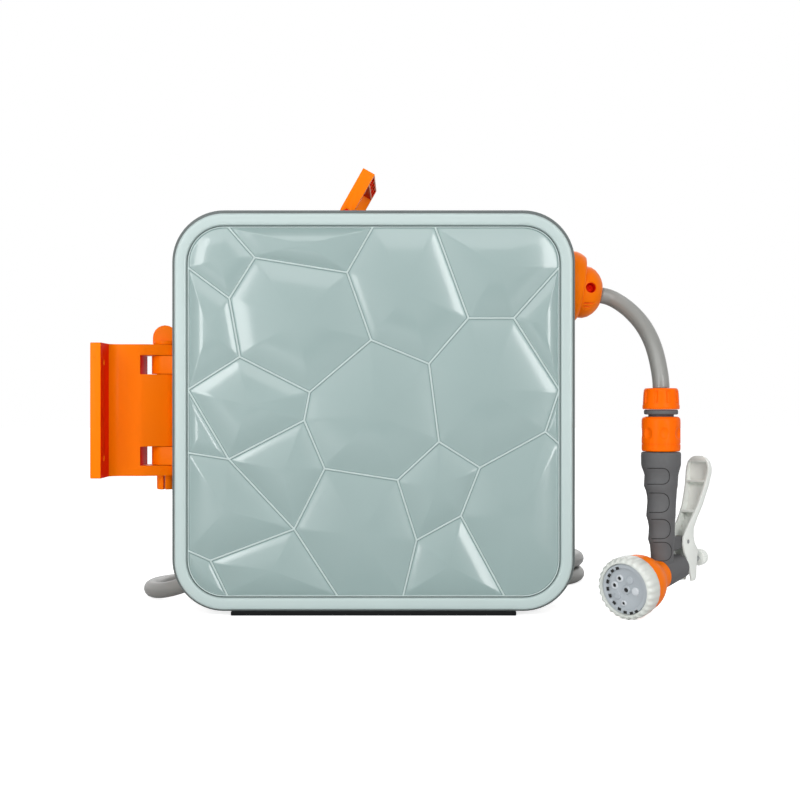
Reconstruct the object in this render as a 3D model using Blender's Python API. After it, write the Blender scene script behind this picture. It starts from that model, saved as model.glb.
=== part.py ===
"""A retractable hose reel on a swivel wall bracket, with its spray nozzle and inlet hose.

Metres, +Z up. The origin is at the middle of the base foot's underside. +X points
to the hose outlet, -X to the wall bracket, and -Y is the front cover.
"""

import math

import bmesh
import bpy
from mathutils import Matrix, Vector

# Clearances
GAP = 0.0003
RUNNING_GAP = 0.0005

# Case
CASE_WIDTH = 0.404
CASE_HEIGHT = 0.402
CASE_DEPTH = 0.180
CASE_CORNER = 0.050
WALL = 0.003
FOOT_HEIGHT = 0.004
FOOT_LENGTH = 0.286
FOOT_DEPTH = 0.150
FOOT_END = 0.006
COVER_PROUD = 0.005
COVER_SET_IN = 0.002
COVER_SKIRT = 0.015
RIM_WIDTH = 0.0132
RIM_ROUND = 0.003
PANEL_SUNK = 0.0014
PANEL_THICKNESS = 0.0023
RIB_WIDTH = 0.0026
RIB_HEIGHT = 0.0014
PILLOW_HEIGHT = 0.0026
POST_OFFSET = 0.177
POST_RADIUS = 0.008
POST_MEETS = 0.025
POST_FLOOR = 0.010
POST_RAISE = 0.047
SCREW_RADIUS = 0.0021
SCREW_HEAD_RADIUS = 0.0044
SCREW_LENGTH = 0.030

# Hose
HOSE_DIAMETER = 0.017
HOSE_STEP = 2.0 * HOSE_DIAMETER

# Drum and axle
AXLE_RADIUS = 0.012
AXLE_BORE = 0.005
AXLE_FOOT_RADIUS = 0.030
AXLE_FOOT_THICKNESS = 0.0037
HUB_WALL = 0.005
HUB_PIPE_Y = 0.012
CORE_RADIUS = 0.058
CORE_WALL = 0.0027
WEB_THICKNESS = 0.004
WINDING_WIDTH = 0.105
WINDING_RADIUS = 0.1365
FLANGE_RADIUS = 0.158
FLANGE_THICKNESS = 0.003
FLANGE_LIP = 0.002
DRUM_FRONT_ROOM = 0.0125
CASSETTE_RADIUS = 0.075
CASSETTE_DEPTH = 0.0244
CASSETTE_WALL = 0.0025
SPRING_WIDTH = 0.020
SPRING_THICKNESS = 0.0012
SPRING_TURNS = 4
SEAL_SECTION = 0.0026
RATCHET_INNER = 0.0765
RATCHET_ROOT = 0.092
RATCHET_TIP = 0.100
RATCHET_TEETH = 16
RATCHET_THICKNESS = 0.006
PAWL_PIVOT_RADIUS = 0.120
PAWL_LENGTH = 0.0278
PAWL_LIFT = math.radians(45)
PAWL_ANGLE = math.radians(150)
PAWL_PIN_RADIUS = 0.003

# Level wind
PULLEY_RADIUS = 0.018
PULLEY_WIDTH = 0.0055
BELT_THICKNESS = 0.0015
GUIDE_X = 0.171
GUIDE_SCREW_Z = 0.306
GUIDE_ROD_Z = 0.354
GUIDE_SCREW_RADIUS = 0.006
GUIDE_ROD_RADIUS = 0.004
CHEEK_THICKNESS = 0.004
CARRIAGE_WIDTH = 0.046
CARRIAGE_DEPTH = 0.022
ROLLER_RADIUS = 0.004

# Outlet
OUTLET_HEIGHT = 0.3320
OUTLET_TILT = math.radians(10)
THROAT_RADIUS = 0.0125
# The lip's rings: distance from the case, height of the middle, radius, lean in degrees
LIP_RINGS = [(0, 0.3352, 0.0352, 0), (0.0065, 0.3355, 0.0366, 0), (0.0110, 0.3349, 0.0352, 4.5),
             (0.01445, 0.3331, 0.0321, 8.7)]
SEAT_START = 0.0020
SEAT_END = 0.0100
SEAT_RADIUS = 0.0278
STOP_RADIUS = 0.0274
STOP_END = 0.0350
STOP_SCREW_X = 0.2237
STOP_SCREW_Z = 0.3320
STOP_POCKET_RADIUS = 0.0056

# Wall bracket and hinge
PIN_DISTANCE = 0.0201
PIN_RADIUS = 0.009
BARREL_RADIUS = 0.0143
BRACKET_BOTTOM = 0.1365
BRACKET_TOP = 0.2743
KNUCKLE_LOW = 0.1475
KNUCKLE_HIGH = 0.2432
KNUCKLE_HEIGHT = 0.0195
PLATE_DISTANCE = 0.0539
PLATE_THICKNESS = 0.0105
PLATE_WIDTH = 0.150
PLATE_CORNER = 0.010
WEB_WIDTH = 0.046
WEB_WALL = 0.004
SLOT_GAP = 0.0086
TAB_WIDTH = 0.0260
TAB_THICKNESS = 0.005
TAB_HEIGHT = 0.0205
PIN_TAIL = 0.0150
HINGE_PLATE_THICKNESS = 0.005
HINGE_PLATE_WIDTH = 0.044
MOUNT_SCREW_RADIUS = 0.003

# Carry handle
HANDLE_PIVOT_X = -0.028
HANDLE_PIVOT_RISE = 0.0022
HANDLE_TILT = math.radians(29.4)
HANDLE_WIDTH = 0.123
HANDLE_ARM_LENGTH = 0.0467
HANDLE_ARM_WIDTH = 0.0133
HANDLE_ARM_THICKNESS = 0.006
HANDLE_WALL = 0.002
GRIP_HEIGHT = 0.0122
GRIP_POCKETS = 4
HANDLE_PIN_RADIUS = 0.0025
HANDLE_POCKET_DEPTH = 0.0054

# Quick connectors
NUT_TOP_RADIUS = 0.0150
NUT_RADIUS = 0.0187
NUT_LENGTH = 0.0214
CONNECTOR_FLANGE_RADIUS = 0.0171
CONNECTOR_FLANGE = 0.0050
CONNECTOR_NECK_RADIUS = 0.0128
COLLAR_RADIUS = 0.0195
COLLAR_LENGTH = 0.0350
COLLAR_TRAVEL = 0.0018
CONNECTOR_CORE = 0.0270

# Spray nozzle: its place, and its own frame with +X towards the lever
NOZZLE_X = 0.2910
NOZZLE_Y = -0.070
NOZZLE_TURN = math.radians(49.8)
CONNECTOR_TOP = 0.2280
GRIP_TOP = 0.1634
BARREL_HEIGHT = 0.040
BARREL_TILT = math.radians(7.5)
BARREL_RADIUS_REAR = 0.0130
BARREL_RADIUS_FRONT = 0.0152
BARREL_REAR = 0.036
BELL_REAR = 0.005
BELL_NECK_RADIUS = 0.0158
BELL_NECK = 0.009
BELL_FRONT = 0.0530
BELL_RADIUS = 0.0290
BELL_SWELL = [(0.006, 0.0175), (0.013, 0.0225), (0.021, 0.0268), (0.029, 0.0287)]
RING_FRONT = 0.0720
RING_RADIUS = 0.0314
FACE_RADIUS = 0.0250
FACE_SPIGOT_RADIUS = 0.0080
STEM_RADIUS = 0.0028
KNOB_START = 0.0710
KNOB_LENGTH = 0.0140
KNOB_RADIUS = 0.0085
LEVER_PIVOT_X = 0.0416
LEVER_PIVOT_Z = 0.0700
LEVER_PIN_RADIUS = 0.0020
LEVER_WALL = 0.0020
LEVER_EAR_WIDTH = 0.0110
LEVER_EAR_RADIUS = 0.0055
LEVER_WIDTH_LOW = 0.0160

# Inlet hose
EXIT_Y = 0.0
EXIT_SLOPE = math.radians(20)
EXIT_TURN = math.radians(27.5)
EXIT_ANGLE = math.radians(216.9)
GROMMET_RADIUS = 0.0125
GROMMET_LENGTH = 0.0140
INLET_PLANE = 0.0750
SPIGOT_ANGLE = math.radians(225)
SPIGOT_RADIUS = 0.0095
SPIGOT_REACH = 0.0400
COIL_CENTRE = (0.144, 0.222)
COIL_RADIUS = 0.100
COIL_PITCH = HOSE_DIAMETER + 0.0006
COIL_SWEEP = 900

# Places worked out from the sizes above
FRONT_Y = -CASE_DEPTH / 2
BACK_Y = CASE_DEPTH / 2
SHELL_FRONT_Y = FRONT_Y + COVER_PROUD
CASE_BOTTOM = FOOT_HEIGHT + GAP
CASE_TOP = CASE_BOTTOM + CASE_HEIGHT
AXLE_Z = CASE_BOTTOM + CASE_HEIGHT / 2
SIDE_X = CASE_WIDTH / 2
PANEL_SIDE = CASE_WIDTH / 2 - COVER_SET_IN - RIM_WIDTH
PANEL_CORNER = CASE_CORNER - COVER_SET_IN - RIM_WIDTH
DRUM_FRONT = SHELL_FRONT_Y + DRUM_FRONT_ROOM + FLANGE_THICKNESS + GAP
DRUM_BACK = DRUM_FRONT + WINDING_WIDTH
OUTLET_Y = (DRUM_FRONT + DRUM_BACK) / 2
BACK_FLANGE_Y = DRUM_BACK + GAP
BEHIND_FLANGE = BACK_FLANGE_Y + FLANGE_THICKNESS + GAP
CASSETTE_BACK = BEHIND_FLANGE + CASSETTE_DEPTH
REAR_INSIDE = BACK_Y - WALL
HUB_BORE = AXLE_RADIUS + RUNNING_GAP
HOSE_RADIUS = HOSE_DIAMETER / 2
LEAD_RADIUS = WINDING_RADIUS + 3 * GAP + HOSE_RADIUS
PIN_X = -SIDE_X - PIN_DISTANCE
HANDLE_PIVOT_Z = CASE_TOP + HANDLE_PIVOT_RISE
PULLEY_BACK = DRUM_FRONT - GAP - FLANGE_THICKNESS - GAP
PULLEY_FRONT = PULLEY_BACK - PULLEY_WIDTH
OUTLET_START = Vector((SIDE_X + GAP, OUTLET_Y, OUTLET_HEIGHT))
OUTLET_WAY = Vector((math.cos(OUTLET_TILT), 0, -math.sin(OUTLET_TILT)))
AXLE = Vector((0, 0, AXLE_Z))
ALONG_X, ALONG_Y, ALONG_Z = Vector((1, 0, 0)), Vector((0, 1, 0)), Vector((0, 0, 1))

# Finishes: sRGB colour, roughness, metallic
PALE = ((176, 194, 191), 0.28, 0.0)
GREY = ((118, 127, 127), 0.45, 0.0)
BLACK = ((22, 23, 24), 0.55, 0.0)
ORANGE = ((255, 112, 4), 0.38, 0.0)
HOSE_GREY = ((148, 148, 143), 0.42, 0.0)
GRIP_GREY = ((113, 113, 111), 0.6, 0.0)
LIGHT_GREY = ((206, 209, 205), 0.35, 0.0)
FACE_GREY = ((165, 170, 175), 0.4, 0.0)
NYLON = ((222, 220, 210), 0.4, 0.0)
RUBBER = ((28, 28, 28), 0.8, 0.0)
STEEL = ((165, 168, 170), 0.3, 1.0)

# Relief of the cover: points where ribs meet, in mm from the panel's middle on a panel 372 mm wide
RELIEF_SPAN = 0.372
RELIEF_POINTS = {
    "a": (-146, 186), "b": (-119, 155), "c": (-186, 145), "d": (-144.5, 114), "e": (-134, 55),
    "f": (-186, 22), "g": (-26.5, 140), "h": (-0.5, 186), "i": (-2.5, 72), "j": (-64, 19.5),
    "k": (55.5, 48), "l": (-69.5, -9), "m": (61.5, 186), "n": (65.5, -30.5), "o": (95, 94),
    "p": (140.5, 94), "q": (186, 145), "r": (186, 22), "s": (172, -20.5), "t": (186, -32.5),
    "u": (106.5, -56.5), "v": (87.5, -105), "w": (43, -129.5), "x": (131, -186), "y": (29.5, -186),
    "z": (24, -69), "aa": (-49, -57.5), "bb": (-79.5, -118.5), "cc": (-36, -186), "dd": (-145, -48),
    "ee": (-186, -41.5), "ff": (-186, -140), "gg": (-163.5, -150), "hh": (-146, -186),
}
# Each cell goes round clockwise through its points; a number stands for the panel's rounded
# corner at that angle
RELIEF_CELLS = [
    "c 135 a b d", "a h g b", "h m o k i g", "m 45 q p o", "p q r", "o p r s u n k", "r t s",
    "s t 315 x v u", "n u v w z", "v x y w", "z w y cc bb aa", "i k n z aa l j", "b g i j e d",
    "c d e f", "e j l dd f", "l aa bb dd", "f dd ee", "ee dd bb gg ff", "ff gg hh 225", "gg bb cc hh",
]

# The free outlet hose, from the stop to the connector, chosen by hand
OUTLET_ROUTE = [
    (0.2510, -0.0190, 0.3215), (0.2655, -0.0300, 0.3095), (0.2770, -0.0430, 0.2930),
    (0.2845, -0.0550, 0.2745), (0.2890, -0.0640, 0.2550),
]
# The inlet hose on the floor, from the grommet to the start of its coil, chosen by hand
INLET_ROUTE = [
    (-0.2252, 0.0214, 0.0122), (-0.2411, 0.0442, 0.0092), (-0.2483, 0.0710, 0.0086),
    (-0.2459, 0.0987, 0.0086), (-0.2341, 0.1239, 0.0086), (-0.2145, 0.1435, 0.0086),
    (-0.1893, 0.1555, 0.0086), (-0.1600, 0.1590, 0.0086), (-0.1200, 0.1575, 0.0086),
    (-0.0650, 0.1510, 0.0086), (0.0000, 0.1390, 0.0086), (0.0550, 0.1280, 0.0086),
]
# From the end of the coil to the tap connector, chosen by hand
TAIL_ROUTE = [(0.1100, 0.3190, 0.0262), (0.0750, 0.3195, 0.0245)]
TAP_X = 0.0360
TAP_Y = 0.3200
# Inside the case, from the grommet to the axle's spigot, chosen by hand
INSIDE_ROUTE = [
    (-0.1630, -0.0145, 0.0372), (-0.1450, -0.0120, 0.0480), (-0.1310, 0.0100, 0.0600),
    (-0.1210, 0.0360, 0.0740), (-0.1060, 0.0600, 0.0960), (-0.0830, 0.0735, 0.1210),
    (-0.0620, 0.0750, 0.1430),
]


def clear_scene():
    for thing in list(bpy.data.objects):
        bpy.data.objects.remove(thing)


def linear(value):
    value /= 255
    return value / 12.92 if value <= 0.04045 else ((value + 0.055) / 1.055) ** 2.4


def finish(thing, look):
    colour, roughness, metallic = look
    material = bpy.data.materials.new(thing.name)
    material.use_nodes = True
    shader = material.node_tree.nodes["Principled BSDF"]
    shader.inputs["Base Color"].default_value = (*[linear(c) for c in colour], 1)
    shader.inputs["Roughness"].default_value = roughness
    shader.inputs["Metallic"].default_value = metallic
    thing.data.materials.append(material)


def mesh_object(name, shape, origin=(0, 0, 0), parent=None):
    """An object from (points, faces), with its origin moved to a place in its parent's frame."""
    points, faces = shape
    mesh = bpy.data.meshes.new(name)
    mesh.from_pydata([Vector(p) - Vector(origin) for p in points], [], faces)
    work = bmesh.new()
    work.from_mesh(mesh)
    bmesh.ops.recalc_face_normals(work, faces=work.faces)
    work.to_mesh(mesh)
    work.free()
    mesh.shade_smooth()
    mesh.set_sharp_from_angle(angle=math.radians(35))
    thing = bpy.data.objects.new(name, mesh)
    thing.location = origin
    thing.parent = parent
    bpy.context.scene.collection.objects.link(thing)
    return thing


def solid(name, shape, look, origin=(0, 0, 0), parent=None):
    thing = mesh_object(name, shape, origin, parent)
    finish(thing, look)
    return thing


def combine(target, shape, operation):
    """A Boolean with a hidden guide that lies in the same frame as its target."""
    name = f"{target.name}_{operation.lower()}_{len(target.modifiers)}"
    guide = mesh_object(name, shape, parent=target.parent)
    guide.hide_render = True
    guide.display_type = "WIRE"
    step = target.modifiers.new(operation, "BOOLEAN")
    step.operation = operation
    step.solver = "EXACT"
    step.object = guide


def join(target, *shapes):
    for shape in shapes:
        combine(target, shape, "UNION")


def cut(target, *shapes):
    combine(target, together(*shapes), "DIFFERENCE")


def together(*shapes):
    points, faces = [], []
    for more_points, more_faces in shapes:
        faces += [tuple(i + len(points) for i in face) for face in more_faces]
        points += list(more_points)
    return points, faces


def loft(loops, ring=False):
    """Joins loops of equal count into a closed skin, capped at both ends unless it is a ring."""
    count, total = len(loops[0]), len(loops)
    points = [Vector(p) for loop in loops for p in loop]
    faces = []
    for i in range(total if ring else total - 1):
        here, there = i * count, (i + 1) % total * count
        for j in range(count):
            k = (j + 1) % count
            faces.append((here + j, here + k, there + k, there + j))
    if not ring:
        faces.append(tuple(reversed(range(count))))
        faces.append(tuple(range((total - 1) * count, total * count)))
    return points, faces


def circle(centre, axis, radius, count):
    axis = Vector(axis).normalized()
    side = axis.orthogonal().normalized()
    other = axis.cross(side)
    turns = [2 * math.pi * i / count for i in range(count)]
    return [Vector(centre) + radius * (math.cos(a) * side + math.sin(a) * other) for a in turns]


def turned(profile, base, axis, count=24, ring=False):
    """A turned shape: profile holds (distance along the axis, radius)."""
    axis = Vector(axis).normalized()
    base = Vector(base)
    return loft([circle(base + along * axis, axis, radius, count) for along, radius in profile], ring)


def rod(start, end, radius, count=16):
    start, end = Vector(start), Vector(end)
    return turned([(0, radius), ((end - start).length, radius)], start, end - start, count)


def arc(centre, radius, first, last, steps):
    angles = [math.radians(first + (last - first) * i / steps) for i in range(steps + 1)]
    return [(centre[0] + radius * math.cos(a), centre[1] + radius * math.sin(a)) for a in angles]


def rounded(half_width, half_height, radius, steps=6, centre=(0, 0)):
    """A rectangle with rounded corners, anticlockwise."""
    x, y = half_width - radius, half_height - radius
    corners = [(x, y, 0), (-x, y, 90), (-x, -y, 180), (x, -y, 270)]
    outline = []
    for cx, cy, angle in corners:
        outline += arc((centre[0] + cx, centre[1] + cy), radius, angle, angle + 90, steps)
    return outline


def raised(outline, plane, level):
    """A flat outline set at a level: plane names the outline's two axes."""
    if plane == "xz":
        return [Vector((a, level, b)) for a, b in outline]
    if plane == "xy":
        return [Vector((a, b, level)) for a, b in outline]
    return [Vector((level, a, b)) for a, b in outline]


def prism(outline, plane, low, high):
    return loft([raised(outline, plane, low), raised(outline, plane, high)])


def block(low, high):
    outline = [(low[0], low[1]), (high[0], low[1]), (high[0], high[1]), (low[0], high[1])]
    return prism(outline, "xy", low[2], high[2])


def smooth_route(points, step, first=None, last=None):
    """Points a step apart along a smooth curve through hand-chosen ones."""
    points = [Vector(p) for p in points]
    fine = []
    for i in range(len(points) - 1):
        a, b = points[i], points[i + 1]
        into = (b - points[i - 1]) / 2 if i else (first or (b - a).normalized()) * (b - a).length
        ahead = i + 2 < len(points)
        out = (points[i + 2] - a) / 2 if ahead else (last or (b - a).normalized()) * (b - a).length
        for j in range(12):
            t = j / 12
            h = (2 * t**3 - 3 * t**2 + 1, t**3 - 2 * t**2 + t, -2 * t**3 + 3 * t**2, t**3 - t**2)
            fine.append(h[0] * a + h[1] * into + h[2] * b + h[3] * out)
    fine.append(points[-1])
    return spaced(fine, step)


def spaced(line, step):
    """The same line with its points evenly spaced, about a step apart."""
    along = [0.0]
    for a, b in zip(line, line[1:]):
        along.append(along[-1] + (b - a).length)
    count = max(2, round(along[-1] / step))
    result, i = [], 0
    for k in range(count + 1):
        wanted = along[-1] * k / count
        while i < len(line) - 2 and along[i + 1] < wanted:
            i += 1
        share = (wanted - along[i]) / max(along[i + 1] - along[i], 1e-9)
        result.append(line[i].lerp(line[i + 1], min(share, 1)))
    return result


def tube(name, route, diameter, look, sides=2):
    curve = bpy.data.curves.new(name, "CURVE")
    curve.dimensions = "3D"
    curve.bevel_depth = diameter / 2
    curve.bevel_resolution = sides
    curve.use_fill_caps = True
    spline = curve.splines.new("POLY")
    spline.points.add(len(route) - 1)
    for point, place in zip(spline.points, route):
        point.co = (*place, 1)
    spline.use_smooth = True
    thing = bpy.data.objects.new(name, curve)
    bpy.context.scene.collection.objects.link(thing)
    finish(thing, look)
    return thing


def case_outline(inset, y, steps=6):
    half_width, half_height = CASE_WIDTH / 2 - inset, CASE_HEIGHT / 2 - inset
    outline = rounded(half_width, half_height, CASE_CORNER - inset, steps, (0, AXLE_Z))
    return raised(outline, "xz", y)


def post_places():
    """The screw posts in the corners; the lower left one is raised clear of the inlet hose."""
    places = [(x, AXLE_Z + z) for x in (-POST_OFFSET, POST_OFFSET) for z in (-POST_OFFSET, POST_OFFSET)]
    places[0] = (places[0][0], places[0][1] + POST_RAISE)
    return places


def inward(points, distance):
    """Moves each side of an anticlockwise outline inwards by a distance."""
    moved = []
    for i, here in enumerate(points):
        before = (here - points[i - 1]).normalized()
        after = (points[(i + 1) % len(points)] - here).normalized()
        one, two = Vector((-before.y, before.x)), Vector((-after.y, after.x))
        moved.append(here + (one + two) * distance / (1 + one.dot(two)))
    return moved


def relief_cell(words, scale):
    """A cell's outline, anticlockwise, in metres from the panel's middle."""
    outline = []
    for word in words.split():
        if word.isdigit():
            angle = int(word)
            middle = PANEL_SIDE - PANEL_CORNER
            centre = [math.copysign(middle, f(math.radians(angle))) for f in (math.cos, math.sin)]
            outline += [Vector(p) for p in arc(centre, PANEL_CORNER, angle + 45, angle - 45, 5)]
        else:
            outline.append(Vector(RELIEF_POINTS[word]) * scale)
    area = sum(a.x * b.y - b.x * a.y for a, b in zip(outline, outline[1:] + outline[:1]))
    if area < 0:
        outline.reverse()
    return outline


def relief_plate():
    """The sunk panel: pillowed cells between thin raised ribs, on a flat back."""
    scale = 2 * PANEL_SIDE / RELIEF_SPAN / 1000
    top = FRONT_Y + PANEL_SUNK
    floor = top + RIB_HEIGHT
    back = floor + PANEL_THICKNESS
    work = bmesh.new()
    shared = {}

    def corner(point):
        key = (round(point.x, 5), round(point.y, 5))
        if key not in shared:
            shared[key] = work.verts.new((point.x, top, point.y + AXLE_Z))
        return shared[key]

    for words in RELIEF_CELLS:
        outline = relief_cell(words, scale)
        middle = sum(outline, Vector((0, 0))) / len(outline)
        edge = inward(outline, RIB_WIDTH / 2)
        foot = inward(outline, RIB_WIDTH / 2 + RIB_HEIGHT / 4)
        steps = [(edge, top), (foot, floor)]
        for share, rise in ((0.30, 0.62), (0.65, 0.92)):
            steps.append(([p.lerp(middle, share) for p in foot], floor - PILLOW_HEIGHT * rise))
        loops = [[corner(p) for p in outline]]
        loops += [[work.verts.new((p.x, y, p.y + AXLE_Z)) for p in ring] for ring, y in steps]
        peak = work.verts.new((middle.x, floor - PILLOW_HEIGHT, middle.y + AXLE_Z))
        for inner, outer in zip(loops[1:], loops):
            for j in range(len(outer)):
                k = (j + 1) % len(outer)
                work.faces.new((outer[j], outer[k], inner[k], inner[j]))
        for j in range(len(outline)):
            work.faces.new((loops[-1][j], loops[-1][(j + 1) % len(outline)], peak))
    border = [e for e in work.edges if e.is_boundary]
    wall = bmesh.ops.extrude_edge_only(work, edges=border)["geom"]
    for vertex in (v for v in wall if isinstance(v, bmesh.types.BMVert)):
        vertex.co.y = back
    bmesh.ops.holes_fill(work, edges=[e for e in work.edges if e.is_boundary])
    work.verts.index_update()
    shape = ([v.co.copy() for v in work.verts], [tuple(v.index for v in f.verts) for f in work.faces])
    work.free()
    return shape


def front_cover():
    plug = WALL + GAP
    inner = plug + WALL
    panel_floor = FRONT_Y + PANEL_SUNK + RIB_HEIGHT
    hole = CASE_WIDTH / 2 - PANEL_SIDE + 0.0005
    behind = panel_floor + PANEL_THICKNESS + 0.0004
    skirt = SHELL_FRONT_Y + COVER_SKIRT
    steps = [
        (plug, skirt), (plug, SHELL_FRONT_Y - GAP), (COVER_SET_IN, SHELL_FRONT_Y - GAP),
        (COVER_SET_IN, FRONT_Y + RIM_ROUND / 2), (COVER_SET_IN + RIM_ROUND / 3, FRONT_Y + RIM_ROUND / 10),
        (COVER_SET_IN + RIM_ROUND, FRONT_Y), (hole - 0.0010, FRONT_Y), (hole, panel_floor - 0.0006),
        (hole, behind), (inner, behind), (inner, skirt),
    ]
    cover = solid("front_cover", loft([case_outline(inset, y) for inset, y in steps], ring=True), PALE)
    join(cover, relief_plate())
    for x, z in post_places():
        reach = SHELL_FRONT_Y + POST_MEETS - GAP
        join(cover, rod((x, behind - 0.0010, z), (x, reach, z), POST_RADIUS - 0.001, 12))
    cut(cover, *[rod((x, behind + 0.002, z), (x, 0, z), SCREW_RADIUS + GAP, 12) for x, z in post_places()])


def rear_case():
    round_off = 2 * WALL
    steps = [
        (round_off, BACK_Y), (round_off / 3, BACK_Y - round_off / 4), (0, BACK_Y - round_off),
        (0, SHELL_FRONT_Y), (WALL, SHELL_FRONT_Y), (WALL, REAR_INSIDE - WALL / 2),
        (2 * WALL, REAR_INSIDE),
    ]
    case = solid("rear_case", loft([case_outline(inset, y) for inset, y in steps]), GREY)
    post_front = SHELL_FRONT_Y + POST_MEETS
    for x, z in post_places():
        join(case, rod((x, REAR_INSIDE + WALL / 2, z), (x, post_front, z), POST_RADIUS, 12))
    pocket_half = HANDLE_WIDTH / 2 + 0.001
    pocket_floor = CASE_TOP - HANDLE_POCKET_DEPTH
    left, right = HANDLE_PIVOT_X - HANDLE_ARM_WIDTH / 2 - 0.002, HANDLE_PIVOT_X + 1.4 * HANDLE_ARM_LENGTH
    join(case, block((left - WALL, -pocket_half - WALL, pocket_floor - WALL),
                     (right + WALL, pocket_half + WALL, CASE_TOP - WALL / 2)))
    cut(case, block((left, -pocket_half, pocket_floor), (right, pocket_half, CASE_TOP + 0.01)))
    inner = HANDLE_WIDTH / 2 - HANDLE_ARM_THICKNESS - GAP
    lug = HANDLE_ARM_WIDTH / 2 - 0.001
    for side in (-1, 1):
        top = arc((HANDLE_PIVOT_X, HANDLE_PIVOT_Z), lug, 0, 180, 6)
        low = pocket_floor - WALL / 2
        outline = top + [(HANDLE_PIVOT_X - lug, low), (HANDLE_PIVOT_X + lug, low)]
        ends = sorted((side * inner, side * (inner - 0.006)))
        join(case, prism(outline, "xz", *ends))
    hinge = Vector((HANDLE_PIVOT_X, 0, HANDLE_PIVOT_Z))
    reach = inner + 0.001
    pins = rod(hinge - reach * ALONG_Y, hinge + reach * ALONG_Y, HANDLE_PIN_RADIUS + GAP, 12)
    exit_place, exit_way = inlet_exit()
    cuts = [pins, rod(exit_place - 0.03 * exit_way, exit_place + 0.03 * exit_way, GROMMET_RADIUS + GAP, 16)]
    cuts.append(rod(OUTLET_START - 0.02 * OUTLET_WAY, OUTLET_START + 0.02 * OUTLET_WAY, THROAT_RADIUS, 20))
    for x, z in post_places():
        cuts.append(rod((x, BACK_Y + 0.01, z), (x, post_front + POST_FLOOR, z), SCREW_HEAD_RADIUS + GAP, 12))
        cuts.append(rod((x, post_front + 0.02, z), (x, post_front - 0.01, z), SCREW_RADIUS + GAP, 12))
    for y, z in hinge_screw_places():
        cuts.append(rod((-SIDE_X - 0.01, y, z), (-SIDE_X + 0.01, y, z), MOUNT_SCREW_RADIUS + GAP, 12))
    for shape in cuts:
        cut(case, shape)


def base_foot():
    outline = rounded(FOOT_LENGTH / 2, FOOT_DEPTH / 2, FOOT_END, 3)
    solid("base_foot", prism(outline, "xy", 0, FOOT_HEIGHT), BLACK)


def case_screws():
    head = SHELL_FRONT_Y + POST_MEETS + POST_FLOOR + GAP
    for number, (x, z) in enumerate(post_places(), 1):
        profile = [(0.0025, SCREW_HEAD_RADIUS), (0, SCREW_HEAD_RADIUS), (-0.0001, SCREW_RADIUS),
                   (-SCREW_LENGTH, SCREW_RADIUS)]
        solid(f"case_screw_{number}", turned(profile, (x, head, z), ALONG_Y, 12), STEEL)


def handle():
    half, width = HANDLE_ARM_WIDTH / 2, HANDLE_WIDTH / 2
    outline = arc((0, 0), half, 180, 360, 8) + [(half, HANDLE_ARM_LENGTH), (-half, HANDLE_ARM_LENGTH)]
    parent = bpy.data.objects.new("handle_pivot", None)
    bpy.context.scene.collection.objects.link(parent)
    parent.location = (HANDLE_PIVOT_X, 0, HANDLE_PIVOT_Z)
    parent.rotation_euler = (0, HANDLE_TILT, 0)
    grip = solid("carry_handle", prism(outline, "xz", -width, width), ORANGE, parent=parent)
    inside = width - HANDLE_ARM_THICKNESS
    grip_bottom = HANDLE_ARM_LENGTH - GRIP_HEIGHT
    cut(grip, block((-0.02, -inside, -0.02), (0.02, inside, grip_bottom)))
    length = (2 * inside - (GRIP_POCKETS + 1) * HANDLE_WALL) / GRIP_POCKETS
    pockets = []
    for number in range(GRIP_POCKETS):
        y = -inside + HANDLE_WALL + number * (length + HANDLE_WALL)
        pockets.append(block((HANDLE_WALL - half, y, grip_bottom + HANDLE_WALL),
                             (half + 0.01, y + length, HANDLE_ARM_LENGTH - HANDLE_WALL)))
    cut(grip, *pockets)
    cut(grip, rod((0, -HANDLE_WIDTH, 0), (0, HANDLE_WIDTH, 0), HANDLE_PIN_RADIUS + GAP, 12))
    for side, name in ((-1, "handle_pin_front"), (1, "handle_pin_rear")):
        start = Vector((HANDLE_PIVOT_X, side * width, HANDLE_PIVOT_Z))
        end = start - Vector((0, side * (HANDLE_ARM_THICKNESS + GAP + 0.0055), 0))
        solid(name, rod(start, end, HANDLE_PIN_RADIUS, 12), STEEL)


def hinge_screw_places():
    middle = (BRACKET_BOTTOM + BRACKET_TOP) / 2
    return [(y, middle + z) for y in (-0.013, 0.013) for z in (-0.024, 0.024)]


def knuckle_levels():
    return [(KNUCKLE_LOW, KNUCKLE_LOW + KNUCKLE_HEIGHT), (KNUCKLE_HIGH, KNUCKLE_HIGH + KNUCKLE_HEIGHT)]


def hinge_bracket():
    """The plate on the case's side, with two arms whose barrels go round the hinge pin."""
    face = -SIDE_X - GAP
    half = HINGE_PLATE_WIDTH / 2
    plate_front = face - HINGE_PLATE_THICKNESS
    shape = block((plate_front, -half, BRACKET_BOTTOM), (face, half, BRACKET_TOP))
    bracket = solid("hinge_bracket", shape, ORANGE)
    for low, high in knuckle_levels():
        barrel = arc((PIN_X, 0), BARREL_RADIUS, 90, 270, 12)
        outline = barrel + [(plate_front + 0.001, -BARREL_RADIUS), (plate_front + 0.001, BARREL_RADIUS)]
        join(bracket, prism(outline, "xy", low + GAP, high - GAP))
    cut(bracket, rod((PIN_X, 0, 0), (PIN_X, 0, CASE_HEIGHT), PIN_RADIUS + GAP, 20))
    for y, z in hinge_screw_places():
        cut(bracket, rod((-SIDE_X - 0.02, y, z), (-SIDE_X + 0.02, y, z), MOUNT_SCREW_RADIUS + GAP, 12))


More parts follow.
